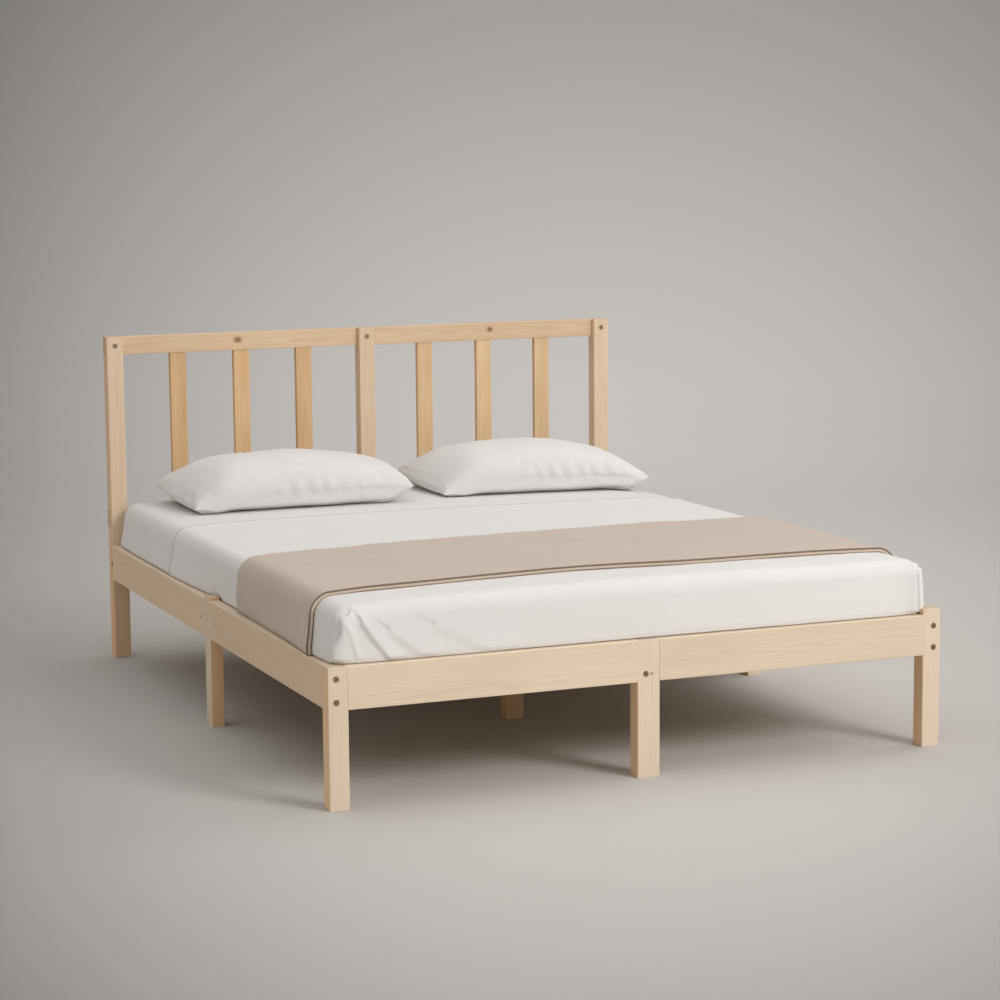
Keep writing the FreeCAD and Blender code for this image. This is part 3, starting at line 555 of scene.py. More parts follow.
white_cotton = cloth_finish("white_cotton", (0.77, 0.755, 0.742), (0.695, 0.672, 0.655),
                            COTTON_PITCH, COTTON_SHEEN, hem=SHEET_HEAD)
under_cotton = cloth_finish("fitted_cotton", (0.755, 0.74, 0.725), (0.68, 0.656, 0.637),
                            COTTON_PITCH, COTTON_SHEEN)
pillow_cotton = cloth_finish("pillowcase_cotton", (0.775, 0.76, 0.745), (0.70, 0.678, 0.657),
                             COTTON_PITCH, COTTON_SHEEN, flat=False)
throw_weave = cloth_finish("throw_weave", (0.585, 0.497, 0.420), (0.460, 0.379, 0.311),
                           0.0024, 0.2, twill=1.0, strength=0.5)
ticking = cloth_finish("mattress_ticking", (0.72, 0.7, 0.665), (0.6, 0.575, 0.535),
                       0.0016, 0.1, flat=False, strength=0.5)
print("cloth finishes:", [m.name for m in (white_cotton, under_cotton, pillow_cotton, throw_weave, ticking)])

# %% [markdown]
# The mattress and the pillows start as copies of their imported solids, so that they keep their places and
# sizes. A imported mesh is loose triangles, long and thin on the flat parts. So a copy is merged, and a voxel
# remesh gives it an even skin that can be pushed and pulled point by point.

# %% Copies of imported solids
MERGE = 0.00002


def only(piece):
    """Nothing else selected, and this piece active."""
    bpy.ops.object.select_all(action="DESELECT")
    piece.select_set(True)
    bpy.context.view_layer.objects.active = piece


def copy_of(node, name):
    """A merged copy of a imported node, as a piece of its own."""
    piece = nodes[node].copy()
    piece.data = nodes[node].data.copy()
    piece.name = name
    piece.parent = None
    for key in list(piece.keys()):
        del piece[key]
    bpy.context.scene.collection.objects.link(piece)
    only(piece)
    bpy.ops.object.mode_set(mode="EDIT")
    bpy.ops.mesh.select_all(action="SELECT")
    bpy.ops.mesh.remove_doubles(threshold=MERGE)
    bpy.ops.object.mode_set(mode="OBJECT")
    piece.data.materials.clear()
    return piece


def even_skin(piece, size):
    """A voxel remesh at that size, applied."""
    only(piece)
    remesh = piece.modifiers.new("even_skin", "REMESH")
    remesh.mode = "VOXEL"
    remesh.voxel_size = size
    remesh.use_smooth_shade = True
    bpy.ops.object.modifier_apply(modifier=remesh.name)


def points_of(piece):
    spots = np.zeros(len(piece.data.vertices) * 3)
    piece.data.vertices.foreach_get("co", spots)
    return spots.reshape(-1, 3)


def normals_of(piece):
    piece.data.update()
    ways = np.zeros(len(piece.data.vertices) * 3)
    piece.data.vertex_normals.foreach_get("vector", ways)
    return ways.reshape(-1, 3)


def set_points(piece, spots):
    piece.data.vertices.foreach_set("co", spots.ravel())
    piece.data.update()


def ease(value, start, end):
    """0 at start and 1 at end, eased."""
    share = np.clip((value - start) / (end - start), 0, 1)
    return share * share * (3 - 2 * share)


print("copying ready")

# %% [markdown]
# The mattress is hidden by its sheets from above, but it shows through the slats and when it is lifted. Its
# skin is drawn in by a millimetre to leave room for the sheet, and quilted: stitched diamonds pull the
# ticking in along their lines. A used mattress sinks at its edges, and the sheets that lie on it have to
# sink with it, so the sag is a function that they share.

# %% Mattress
MATTRESS_VOXEL, SHEET_ROOM = 0.016, 0.0012
QUILT, STITCH_WIDE, STITCH_DEEP = 0.16, 0.012, 0.0045
SAG_Y = (-0.9, 0.0, 0.25, 0.4, 0.6, 0.8, 0.99)
SAG_RIGHT = (0.0, 0.004, 0.0065, 0.0085, 0.0115, 0.016, 0.018)
SAG_LEFT = 0.003


def sag(x, y):
    """How far the top's edges have sunk: a little on the left, more on the right towards the head."""
    return ease(x, 0.62, 0.80) * np.interp(y, SAG_Y, SAG_RIGHT) + ease(-x, 0.64, 0.80) * SAG_LEFT


mattress_low, mattress_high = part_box("mattress")
mattress = copy_of("mattress", "mattress_body")
even_skin(mattress, MATTRESS_VOXEL)
spots, ways = points_of(mattress), normals_of(mattress)
x, y, z = spots.T
spots[:, 2] -= sag(x, y) * ease(z, mattress_low.z + 0.05, mattress_high.z - 0.02)
rows = [np.abs((slant / QUILT) % 1 - 0.5) for slant in (x + y, x - y)]
stitched = np.exp(-((0.5 - np.maximum(*rows)) * QUILT / STITCH_WIDE) ** 2) * np.abs(ways[:, 2])
set_points(mattress, spots - ways * (SHEET_ROOM + STITCH_DEEP * stitched)[:, None])
put_on(mattress, ticking)
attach(mattress, "bedding")
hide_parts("mattress")
print("mattress faces:", len(mattress.data.polygons))

# %% [markdown]
# The cloths are laid over a mattress with a crowned top and rounded edges, so its measures come first, read
# from the imported box. Its soft side swells out over the rails, more in the middle of each rail than at the
# legs. The swelling is drawn as a few widths along each side, and the side rests on the rails or on a leg
# that stands higher.

# %% Measures of the made mattress
HALF_WIDE = (mattress_high.x - mattress_low.x) / 2
HALF_LONG = (mattress_high.y - mattress_low.y) / 2
MIDDLE = (mattress_high.y + mattress_low.y) / 2
CROWN, CORNER_ROUND, TOP_ROUND, BASE_ROUND = 0.009, 0.040, 0.034, 0.030
SHOULDER, UNDERSIDE = mattress_high.z - CROWN, mattress_low.z
STRAIGHT_X, STRAIGHT_Y = HALF_WIDE - CORNER_ROUND, HALF_LONG - CORNER_ROUND
RAIL_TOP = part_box("foot_rail_left")[1].z
SIDE_LEG_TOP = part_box("side_leg_left")[1].z
FOOT_LEG_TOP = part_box("foot_leg_right")[1].z
SIDE_LEG_Y = -0.03
SWELL_Y = (-1.0, -0.92, -0.84, -0.79, -0.67, -0.39, -0.2, 0.0, 0.2, 0.41, 0.75, 0.9, 0.99)
SWELL_SIDE = (0.015, 0.020, 0.021, 0.017, 0.012, 0.006, 0.007, 0.007, 0.018, 0.023, 0.023, 0.021, 0.017)
SWELL_X = (-0.79, -0.7, -0.35, 0.0, 0.35, 0.7, 0.79)
SWELL_FOOT = (0.014, 0.019, 0.018, 0.016, 0.018, 0.019, 0.016)
SWELL_HEAD = 0.002
CORNER_Y, CORNER_SHARE = (-1.0, -0.85), (0.25, 1.0)


def swollen(x, y, way):
    """How far the side stands out over the rail; the right side less near its foot corner."""
    end = np.where(y < MIDDLE, np.interp(x, SWELL_X, SWELL_FOOT), SWELL_HEAD)
    side = np.interp(y, SWELL_Y, SWELL_SIDE) * np.where(x > 0, np.interp(y, CORNER_Y, CORNER_SHARE), 1.0)
    return side * np.cos(way) ** 2 + end * np.sin(way) ** 2


def wood_top(x, y):
    """The level of the wood that the swollen side rests on: the rails, or a leg that stands proud of them."""
    leg = (1 - ease(np.abs(y - SIDE_LEG_Y), 0.032, 0.055)) * ease(np.abs(x), 0.70, 0.74)
    corner = ease(x, 0.762, 0.779) * ease(-y, 0.965, 0.99)
    return RAIL_TOP + (SIDE_LEG_TOP - RAIL_TOP) * leg + (FOOT_LEG_TOP - RAIL_TOP) * corner


print("mattress half sizes", round(HALF_WIDE, 3), round(HALF_LONG, 3), "shoulder", round(SHOULDER, 3))

# %% [markdown]
# A sheet is cut flat, so each one starts as a flat grid of its real size. Laying it over the mattress is
# then a walk: a point goes straight out over the top, rounds the shoulder, goes down the wall, and so on,
# by the same length as on the flat cloth. Low on the wall the walk turns back under the swelling, lies on
# the rail, and only then goes down inside the frame. The same walk with a different lift lays the next
# cloth on the last. A cloth simulation could drape the sheets too, but a walk keeps their drawn edges where
# they belong.

# %% The walk over the mattress
QUARTER = math.pi / 2
REST_GAP, FOLD_ROUND = 0.0035, 0.0035
# How far below the top the swelling is full, and the crown and the sag have faded.
SWELL_DROP, CROWN_DROP, SAG_DROP = 0.12, 0.14, 0.12
SWELL_POWER, SQUARE_CORNER, SOFT_CORNER = 1.3, 5.0, 3.0


def run_to(level, lift):
    """How far from the straight part the cloth walks to hang down to that level."""
    bend = TOP_ROUND + lift
    return CORNER_ROUND - TOP_ROUND + bend * QUARTER + SHOULDER + lift - bend - level


def walk_legs(left, *lengths):
    """How much of each leg of a walk has been walked, and what is left after the last."""
    legs = []
    for length in lengths:
        legs.append(np.clip(left, 0, length))
        left = left - length
    return *legs, left


def laid(across, along, lift):
    """Where spots of the flat cloth come to lie."""
    bend, base = TOP_ROUND + lift, BASE_ROUND + lift
    over_x = np.maximum(np.abs(across) - STRAIGHT_X, 0)
    over_y = np.maximum(np.abs(along - MIDDLE) - STRAIGHT_Y, 0)
    walked = np.maximum(over_x, over_y)
    lesser = np.minimum(over_x, over_y) / np.maximum(walked, 1e-9) * math.pi / 4
    way = np.where(over_x >= over_y, lesser, QUARTER - lesser)
    side_x, side_y = np.sign(across), np.sign(along - MIDDLE)
    start_x = np.minimum(np.abs(across), STRAIGHT_X)
    start_y = np.minimum(np.abs(along - MIDDLE), STRAIGHT_Y)
    plan_x = side_x * (start_x + CORNER_ROUND * np.cos(way) * (walked > 0))
    plan_y = MIDDLE + side_y * (start_y + CORNER_ROUND * np.sin(way) * (walked > 0))

    out = swollen(plan_x, plan_y, way)
    rest = wood_top(plan_x, plan_y) + REST_GAP - lift
    fold = np.minimum(FOLD_ROUND, out * 0.6)
    level_run = CORNER_ROUND - TOP_ROUND
    wall = SHOULDER + lift - bend - rest - fold
    neck = rest - (UNDERSIDE - lift + base)
    turn, fall, curl, inward, sink, tuck, left = walk_legs(
        walked - level_run, bend * QUARTER, wall, fold * QUARTER, out - fold, neck, base * QUARTER)
    turn, curl, tuck = turn / bend, curl / fold, tuck / base
    drop = bend * (1 - np.cos(turn)) + fall + fold * np.sin(curl) + sink + base * np.sin(tuck)
    swell = out * np.clip(drop / SWELL_DROP, 0, 1) ** SWELL_POWER
    reach = np.minimum(walked, level_run) + bend * np.sin(turn) + swell
    reach -= fold * (1 - np.cos(curl)) + inward + base * (1 - np.cos(tuck)) + np.maximum(left, 0)

    above = 1 - ease(inward, 0.0, 0.006) * ease(curl, 0.0, 1.5)
    power = np.where((side_x > 0) & (side_y < 0), SQUARE_CORNER, SOFT_CORNER)
    square = (np.cos(way) ** power + np.sin(way) ** power) ** (-1 / power) - 1
    reach *= 1 + square * above - 0.06 * (1 - above) * np.sin(2 * way) ** 2
    x = side_x * (start_x + reach * np.cos(way) * (walked > 0))
    y = MIDDLE + side_y * (start_y + reach * np.sin(way) * (walked > 0))
    crown = CROWN * (1 - np.minimum(np.abs(x) / HALF_WIDE, 1) ** 2) * (1 - ease(drop, 0.0, CROWN_DROP))
    sunk = sag(x, y) * (1 - ease(drop, 0.0, SAG_DROP))
    return np.stack([x, y, SHOULDER + lift + crown - drop - sunk], 1)


print("cloth hangs to the rail tops after", round(run_to(RAIL_TOP, 0), 3), "m")

# %% [markdown]
# The flat grids come next. A grid has even rows, but the cloth turns sharply at the rails, so rows are
# drawn in there. Slow noise gives slack, lines are drawn through a few given points with their corners
# rounded, and a Solidify modifier gives each cloth its thickness at the end.

# %% Flat grids of cloth
LINE_ROUND, LINE_STEPS = 0.075, 11


def keep_flat(piece, flat):
    """Writes the flat places into the cloth."""
    kept = piece.data.attributes.get("flat") or piece.data.attributes.new("flat", "FLOAT_VECTOR", "POINT")
    kept.data.foreach_set("vector", flat.ravel())


def flat_cloth(name, width, start, end, step):
    """A flat grid of cloth with its middle line on the bed's, that remembers its flat places."""
    bpy.ops.object.select_all(action="DESELECT")
    columns, rows = round(width / step), round((end - start) / step)
    bpy.ops.mesh.primitive_grid_add(x_subdivisions=columns, y_subdivisions=rows, size=1,
                                    location=(0, (start + end) / 2, 0))
    piece = bpy.context.object
    piece.name = piece.data.name = name
    piece.scale = (width, end - start, 1)
    bpy.ops.object.transform_apply(location=True, rotation=True, scale=True)
    keep_flat(piece, points_of(piece))
    return piece


def crowded(values, first, end, extra, last=None):
    """Distances from the middle of a grid, with rows drawn in between first and last, or up to the end."""
    if last is None:
        return np.interp(values, [0, first - extra, end], [0, first, end])
    return np.interp(values, [0, first - extra, last + extra * 0.5, end], [0, first, last, end])


def drawn_line(place, places, values):
    """A line through drawn points, with its corners rounded."""
    steps = np.linspace(-LINE_ROUND, LINE_ROUND, LINE_STEPS)
    return np.mean([np.interp(place + step, places, values) for step in steps], axis=0)


def clouds(spots, size, octaves=2):
    """Smooth noise from about -1 to 1 at each spot."""
    return np.array([noise.fractal(Vector(p), 1.0, 2.0, octaves) for p in spots / size])


def thicken(piece, thickness):
    """Gives a cloth its thickness, half to each side, and smooths its look."""
    only(piece)
    wall = piece.modifiers.new("thickness", "SOLIDIFY")
    wall.thickness = thickness
    wall.offset = 0
    bpy.ops.object.modifier_apply(modifier=wall.name)
    bpy.ops.object.shade_smooth_by_angle(angle=math.radians(50))


print("cloth grids ready")

# %% [markdown]
# The fitted sheet goes over all four corners and is drawn under the base by its elastic. The walk reaches
# past the base round, and the last centimetres are gathered: small waves that grow towards the edge.

# %% Fitted sheet
FITTED_LIFT, FITTED_THICK, FITTED_STEP = 0.0008, 0.0006, 0.0135
FITTED_UNDER, ELASTIC, GATHER_PITCH, GATHER_HIGH = 0.095, 0.05, 0.055, 0.0006
base_turn = (BASE_ROUND + FITTED_LIFT) * QUARTER
fitted_run = run_to(UNDERSIDE + BASE_ROUND, FITTED_LIFT) + base_turn + FITTED_UNDER
fitted_wide = 2 * (STRAIGHT_X + fitted_run)
fitted_foot, fitted_head = MIDDLE - STRAIGHT_Y - fitted_run, MIDDLE + STRAIGHT_Y + fitted_run
fitted = flat_cloth("fitted_sheet_cotton", fitted_wide, fitted_foot, fitted_head, FITTED_STEP)
flat = points_of(fitted)
turns_at = run_to(RAIL_TOP, FITTED_LIFT)
for axis, middle, straight in ((0, 0, STRAIGHT_X), (1, MIDDLE, STRAIGHT_Y)):
    away = flat[:, axis] - middle
    rail = straight + turns_at
    flat[:, axis] = middle + np.sign(away) * crowded(
        np.abs(away), rail - 0.02, straight + fitted_run, 0.06, last=rail + 0.035)
keep_flat(fitted, flat)
spots = laid(flat[:, 0], flat[:, 1], FITTED_LIFT)
walked = np.maximum(np.abs(flat[:, 0]) - STRAIGHT_X, np.abs(flat[:, 1] - MIDDLE) - STRAIGHT_Y)
rim = ease(walked, fitted_run - ELASTIC, fitted_run)
phase = (flat[:, 0] + flat[:, 1]) * 2 * math.pi / GATHER_PITCH + 2 * clouds(flat, 0.3)
spots[:, 2] += rim * GATHER_HIGH * (np.sin(phase) * 0.5 + 0.5)
set_points(fitted, spots)
thicken(fitted, FITTED_THICK)
put_on(fitted, under_cotton)
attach(fitted, "bedding")
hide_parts("fitted_sheet")
fitted_head - fitted_foot
print("fitted sheet cut", round(fitted_wide, 3), "x", round(fitted_head - fitted_foot, 3))

# %% [markdown]
# At the foot corners of the top sheet a square of spare cloth is folded back, as a hospital corner is: a
# pleat with a sharp lip and a few pulled lines that run from it across the foot. A lip is a step that rises
# slowly on one side of a drawn line and falls at once on the other; a flap's valley is shallow along its
# line. The lines are drawn on the foot face, as places across the bed and above the floor.

# %% Creases
def beside(spots, line):
    """Distance of spots in a plane from a drawn line, and which side of it they are on."""
    best, side = np.full(len(spots), 9.0), np.ones(len(spots))
    for start, end in zip(line[:-1], line[1:]):
        start, end = np.array(start), np.array(end)
        run = end - start
        from_start = spots - start
        share = np.clip((from_start @ run) / (run @ run), 0, 1)
        gap = np.hypot(*(from_start - share[:, None] * run).T)
        closer = gap < best
        best = np.where(closer, gap, best)
        side = np.where(closer, np.sign(run[0] * from_start[:, 1] - run[1] * from_start[:, 0]), side)
    return best, side


def lip(spots, line, height, slow, quick):
    """A fold's lip: slow on the left of the line, quick on its right."""
    gap, side = beside(spots, line)
    return height * np.where(side > 0, np.exp(-(gap / slow) ** 1.5), 1 - ease(gap, 0, quick))


def valley(spots, line, height, wide):
    gap, _ = beside(spots, line)
    return height * np.exp(-(gap / wide) ** 2)


LEFT_LIP = [(-0.774, 0.452), (-0.780, 0.447), (-0.781, 0.415), (-0.799, 0.382), (-0.812, 0.335)]
LEFT_FLAP = [(-0.780, 0.447), (-0.766, 0.427), (-0.758, 0.399), (-0.746, 0.362)]
PULLED = [([(-0.732, 0.438), (-0.7045, 0.398), (-0.664, 0.345)], 0.0085, 0.030, 0.011),
          ([(-0.658, 0.415), (-0.579, 0.3535)], 0.0050, 0.045, 0.022),
          ([(-0.540, 0.420), (-0.458, 0.378), (-0.375, 0.335)], 0.0032, 0.045, 0.022)]
RIGHT_LIP = [(0.766, 0.330), (0.767, 0.400), (0.768, 0.446), (0.776, 0.460)]
RIGHT_BACK = [(0.786, 0.458), (0.779, 0.446), (0.778, 0.400), (0.777, 0.330)]


def foot_creases(seen):
    """How far the pleats and the pulled lines stand out of the foot face."""
    out = lip(seen, LEFT_LIP, 0.0100, 0.028, 0.006) + valley(seen, LEFT_FLAP, 0.0035, 0.008)
    for line, depth, slow, quick in PULLED:
        out += lip(seen, line, depth, slow, quick)
    front, back = lip(seen, RIGHT_LIP, 0.0095, 0.022, 0.0045), lip(seen, RIGHT_BACK, 0.0070, 0.014, 0.0045)
    return out + np.maximum(front, back)


print("pulled lines:", len(PULLED))

# %% [markdown]
# The top sheet lies over the foot half and hangs down three sides into the gap between the mattress and the
# rails. Its head edge is askew, as a made bed's is, and a little raised where the hem doubles it. The grid
# is divided finer at the two foot corners, because the pleats there are only millimetres wide.

# %% Top sheet
SHEET_LIFT, SHEET_THICK, SHEET_STEP = 0.0021, 0.0008, 0.0105
SHEET_TUCK, ROWS_FROM, ROWS_EXTRA = 0.016, 0.045, 0.05
SHEET_SLACK, HEM_HIGH, HEM_GROOVE = 0.0035, 0.0020, 0.0006
FINE_FROM_X, FINE_MARGIN = 0.35, 0.01
ASKEW_X = (-0.92, -0.84, -0.76, -0.70, -0.59, -0.36, -0.12, 0.2, 0.55, 0.92)
ASKEW = (-0.034, -0.030, -0.016, -0.008, -0.016, -0.026, -0.045, -0.058, -0.065, -0.07)
sheet_run = run_to(RAIL_TOP, SHEET_LIFT) + SHEET_TUCK
sheet_wide, sheet_foot = 2 * (STRAIGHT_X + sheet_run), MIDDLE - STRAIGHT_Y - sheet_run
sheet = flat_cloth("top_sheet_cotton", sheet_wide, sheet_foot, SHEET_HEAD, SHEET_STEP)
only(sheet)
bpy.ops.object.mode_set(mode="EDIT")
bpy.ops.mesh.select_all(action="DESELECT")
bpy.ops.object.mode_set(mode="OBJECT")
for face in sheet.data.polygons:
    over_foot = face.center.y < MIDDLE - STRAIGHT_Y + FINE_MARGIN
    face.select = over_foot and abs(face.center.x) > FINE_FROM_X
bpy.ops.object.mode_set(mode="EDIT")
bpy.ops.mesh.select_mode(type="FACE")
bpy.ops.mesh.subdivide(number_cuts=2)
bpy.ops.object.mode_set(mode="OBJECT")

flat = points_of(sheet)
edge_x, edge_y = STRAIGHT_X + sheet_run, STRAIGHT_Y + sheet_run
flat[:, 0] = np.sign(flat[:, 0]) * crowded(np.abs(flat[:, 0]), edge_x - ROWS_FROM, edge_x, ROWS_EXTRA)
below = flat[:, 1] < MIDDLE
flat[below, 1] = MIDDLE - crowded(MIDDLE - flat[below, 1], edge_y - ROWS_FROM, edge_y, ROWS_EXTRA)
keep_flat(sheet, flat)
askew = ease(flat[:, 1], -0.2, SHEET_HEAD) * drawn_line(flat[:, 0], ASKEW_X, ASKEW)
spots = laid(flat[:, 0], flat[:, 1] + askew, SHEET_LIFT)
set_points(sheet, spots)
ways = normals_of(sheet)
out = foot_creases(spots[:, [0, 2]]) * ease(-ways[:, 1], 0.25, 0.7)
slack = np.clip(clouds(spots, 0.22, 3) * 0.5 + 0.5, 0, 1) * SHEET_SLACK
out += slack * (1 - ease(spots[:, 1], -0.84, -0.78)) * ease(spots[:, 2], RAIL_TOP + 0.005, RAIL_TOP + 0.065)
out *= ease(spots[:, 2], RAIL_TOP + 0.002, RAIL_TOP + 0.012)
hem = SHEET_HEAD - flat[:, 1]
out += HEM_HIGH * (1 - ease(hem, 0.006, 0.022)) - HEM_GROOVE * np.exp(-((hem - 0.028) / 0.005) ** 2)
set_points(sheet, spots + ways * out[:, None])
thicken(sheet, SHEET_THICK)
put_on(sheet, white_cotton)
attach(sheet, "bedding")
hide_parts("top_sheet")
SHEET_HEAD - sheet_foot
print("top sheet cut", round(sheet_wide, 3), "x", round(SHEET_HEAD - sheet_foot, 3))

# %% [markdown]
# The throw is a padded cloth about a centimetre thick, laid across the bed with both ends resting on the
# rails. Both its long edges wander a little, so they are drawn lines, and the grid is stretched between
# them. Its head edge and its ends are rounded over: after the thickness is given, both skins are drawn
# together towards those edges.

# %% Throw
THROW_LIFT, THROW_THICK, THROW_STEP = 0.0088, 0.0106, 0.0085
THROW_SLACK, THINNEST = 0.0055, 0.06
SLACK_SLANT = np.array([[0.9, 0.5, 0], [-0.25, 0.45, 0], [0, 0, 0.8]])
throw_wide = 2 * (STRAIGHT_X + run_to(RAIL_TOP + 0.0022, THROW_LIFT))
throw_foot, throw_head = -0.840, -0.228
FOOT_X = (-0.922, -0.83, -0.80, -0.70, -0.51, -0.303, -0.134, -0.026, 0.1, 0.2, 0.35, 0.53, 0.65, 0.72, 0.92)
FOOT_Y = (-0.890, -0.861, -0.852, -0.844, -0.842, -0.828, -0.819, -0.822,
          -0.838, -0.852, -0.846, -0.835, -0.834, -0.841, -0.845)
HEAD_X = (-0.92, -0.80, -0.69, -0.578, -0.307, -0.119, 0.063, 0.24, 0.497, 0.708, 0.92)
HEAD_Y = (-0.252, -0.250, -0.245, -0.243, -0.250, -0.235, -0.224, -0.224, -0.2075, -0.195, -0.190)


def throw_place(across, share):
    """A spot of the throw, by its place across the bed and its share of the way from foot to head edge."""
    foot, head = drawn_line(across, FOOT_X, FOOT_Y), drawn_line(across, HEAD_X, HEAD_Y)
    return laid(across, foot + share * (head - foot), THROW_LIFT)


throw = flat_cloth("throw_cloth", throw_wide, throw_foot, throw_head, THROW_STEP)
flat = points_of(throw)
spots = throw_place(flat[:, 0], (flat[:, 1] - throw_foot) / (throw_head - throw_foot))
set_points(throw, spots)
ways = normals_of(throw)
slack = np.clip(clouds(spots @ SLACK_SLANT, 0.15, 3) * 0.5 + 0.5, 0, 1) * THROW_SLACK
slack *= ease(spots[:, 2], RAIL_TOP + 0.004, RAIL_TOP + 0.05)
slack *= ease(flat[:, 1], throw_foot, throw_foot + 0.05)
set_points(throw, spots + ways * slack[:, None])
from_edge = np.minimum(throw_head - flat[:, 1], throw_wide / 2 - np.abs(flat[:, 0])) / (THROW_THICK / 2)
rounding = np.sqrt(np.clip(1 - (1 - np.clip(from_edge, 0, 1)) ** 2, THINNEST, 1))
middle_layer = points_of(throw)
thicken(throw, THROW_THICK)
layers = points_of(throw)
count = len(middle_layer)
for skin in (layers[:count], layers[count:2 * count]):
    skin[:] = middle_layer + (skin - middle_layer) * rounding[:, None]
set_points(throw, layers)
put_on(throw, throw_weave)
print("throw faces:", len(throw.data.polygons))

# %% [markdown]
# The throw's foot edge is square and bound: a pale band between two dark cords of piping. The binding is a
# strip of its own. It starts as a flat grid with one row for each point of a section, drawn as two small
# circles with the band between them, and each column is set on the edge, upright to the cloth.

# %% Throw binding
BINDING_STEPS, BINDING_THICK = 340, 0.0006
BAND_IN, BAND_TOP, BAND_BOTTOM, CORD_OUT = -0.006, 0.0058, -0.0054, 0.0006
# Each cord's height and radius, and the angles between which its arc is drawn.
CORDS = ((0.0060, 0.0022, 130, -70), (-0.0040, 0.0018, 70, -130))
ARC_POINTS = 9
TWIST_PITCH = 0.0032


def cord_section():
    """The binding's section as (towards the foot, up) in metres, from the throw's top to its underside."""
    section = [(BAND_IN, BAND_TOP)]
    for middle, radius, first, last in CORDS:
        for angle in np.radians(np.linspace(first, last, ARC_POINTS)):
            section.append((CORD_OUT + radius * math.cos(angle), middle + radius * math.sin(angle)))
    section.append((BAND_IN, BAND_BOTTOM))
    return np.array(section)


def binding_finish(name, band, piping):
    made, wire, shader = new_finish(name, Specular_IOR_Level=0.2, Sheen_Weight=0.2, Sheen_Roughness=0.5)
    spot = wire.node("ShaderNodeAttribute", {"attribute_name": "flat"}, out="Vector")
    split = wire.node("ShaderNodeSeparateXYZ", None, {0: spot})
    along, up = split.out("X"), split.out("Z")
    cord = up.smooth(0.0034, 0.0042) + up.smooth(-0.0020, -0.0028)
    twist = wire.math("SINE", along * (2 * math.pi / TWIST_PITCH) + up * 900) * 0.5 + 0.5
    slow = wire.cloud(spot, 30, 3)
    pale = wire.tint(slow, band, toned(band, 0.86))
    dark = wire.tint(twist * 0.5 + slow * 0.3, piping, toned(piping, 0.6))
    feed(wire, shader, wire.tint(cord, pale, dark), 0.78 + twist * 0.1, twist * cord, 0.4, 0.0004)
    return made


section = cord_section()
bpy.ops.object.select_all(action="DESELECT")
bpy.ops.mesh.primitive_grid_add(x_subdivisions=BINDING_STEPS, y_subdivisions=len(section) - 1, size=2)
binding = bpy.context.object
binding.name = binding.data.name = "throw_binding"
grid = points_of(binding)
across = grid[:, 0] * throw_wide / 2
row = np.rint((grid[:, 1] + 1) / 2 * (len(section) - 1)).astype(int)
toward_foot, up = section[row].T
along_edge = throw_place(across + 0.001, 0) - throw_place(across - 0.001, 0)
upward = np.stack([-along_edge[:, 2], np.zeros(len(row)), along_edge[:, 0]], 1)
upward /= np.linalg.norm(upward, axis=1)[:, None]
edge = throw_place(across, 0)
set_points(binding, edge + upward * up[:, None] + np.array([0, -1, 0]) * toward_foot[:, None])
keep_flat(binding, np.stack([across, toward_foot, up], 1))
only(binding)
bpy.ops.object.mode_set(mode="EDIT")
bpy.ops.mesh.select_all(action="SELECT")
bpy.ops.mesh.normals_make_consistent(inside=False)
bpy.ops.object.mode_set(mode="OBJECT")
thicken(binding, BINDING_THICK)
put_on(binding, binding_finish("throw_binding", (0.66, 0.55, 0.44), (0.27, 0.18, 0.125)))
print("binding faces:", len(binding.data.polygons))
for piece in (throw, binding):
    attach(piece, "bedding")
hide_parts("throw_blanket")
print("throw cut", round(throw_wide, 3), "x", round(throw_head - throw_foot, 3))

# %% [markdown]
# A pillow is a bag sewn on all sides and filled: full in the middle, thin and pointed at its corners,
# creased where the cloth has to gather along the seams. Blender's cloth simulation can blow a form up with
# pressure, and that gives its fullness. Left free it would move points by centimetres, so how far a point
# may move is capped, and the pillow keeps its place on the sheet.

# %% Pillow simulation
PRESSURE, PUFF_SLACK, PUFF_CAP, PUFF_STEPS = 4, 0.02, 0.0055, 20


def blown(piece):
    """Runs the cloth simulation, and keeps its shape within the cap."""
    only(piece)
    before = points_of(piece)
    scene = bpy.context.scene
    puff = piece.modifiers.new("puff", "CLOTH")
    puff.settings.quality = 5
    puff.settings.mass = 0.25
    puff.settings.use_pressure = True
    puff.settings.uniform_pressure_force = PRESSURE
    puff.settings.tension_stiffness = 12
    puff.settings.compression_stiffness = 12
    puff.settings.bending_stiffness = 0.05
    puff.settings.shrink_min = -PUFF_SLACK
    puff.settings.effector_weights.gravity = 0
    for step in range(1, PUFF_STEPS + 1):
        scene.frame_set(step)
    bpy.ops.object.modifier_apply(modifier=puff.name)
    scene.frame_set(1)
    moved = points_of(piece) - before
    far = np.linalg.norm(moved, axis=1)
    moved *= np.minimum(1, PUFF_CAP / np.maximum(far, 1e-9))[:, None]
    set_points(piece, before + moved)
    print(piece.name, "moved up to", round(float(far.max()) * 1000, 1), "mm")


print("simulation ready")

# %% [markdown]
# The rest of a pillow's form is moved in code, before and after the simulation. Before it, the
# underside is flattened right up to the front seam, the front left corner is drawn in, and the tips are
# raised or lowered. After it come the finer forms, which it would have blown out: the crease along the
# front seam, the small gathers above it, and some slack over the top. Heights are measured from the sheet
# below, in the pillow's own turned frame.

# %% Pillow form
PILLOW_TURN, PILLOW_REST = math.radians(-4), 0.0012
SEAM_HIGH, CREASE_HIGH = 0.0495, 0.044
CASE_ROUND, UNDER_ROUND = 3.4, 9
CORNER_DRAWN = 0.045
CREASE_DEEP, CREASE_WIDE = 0.0055, 0.008
PLEAT_HIGH, PLEAT_PITCH, TOP_SLACK = 0.0050, 0.046, 0.0024


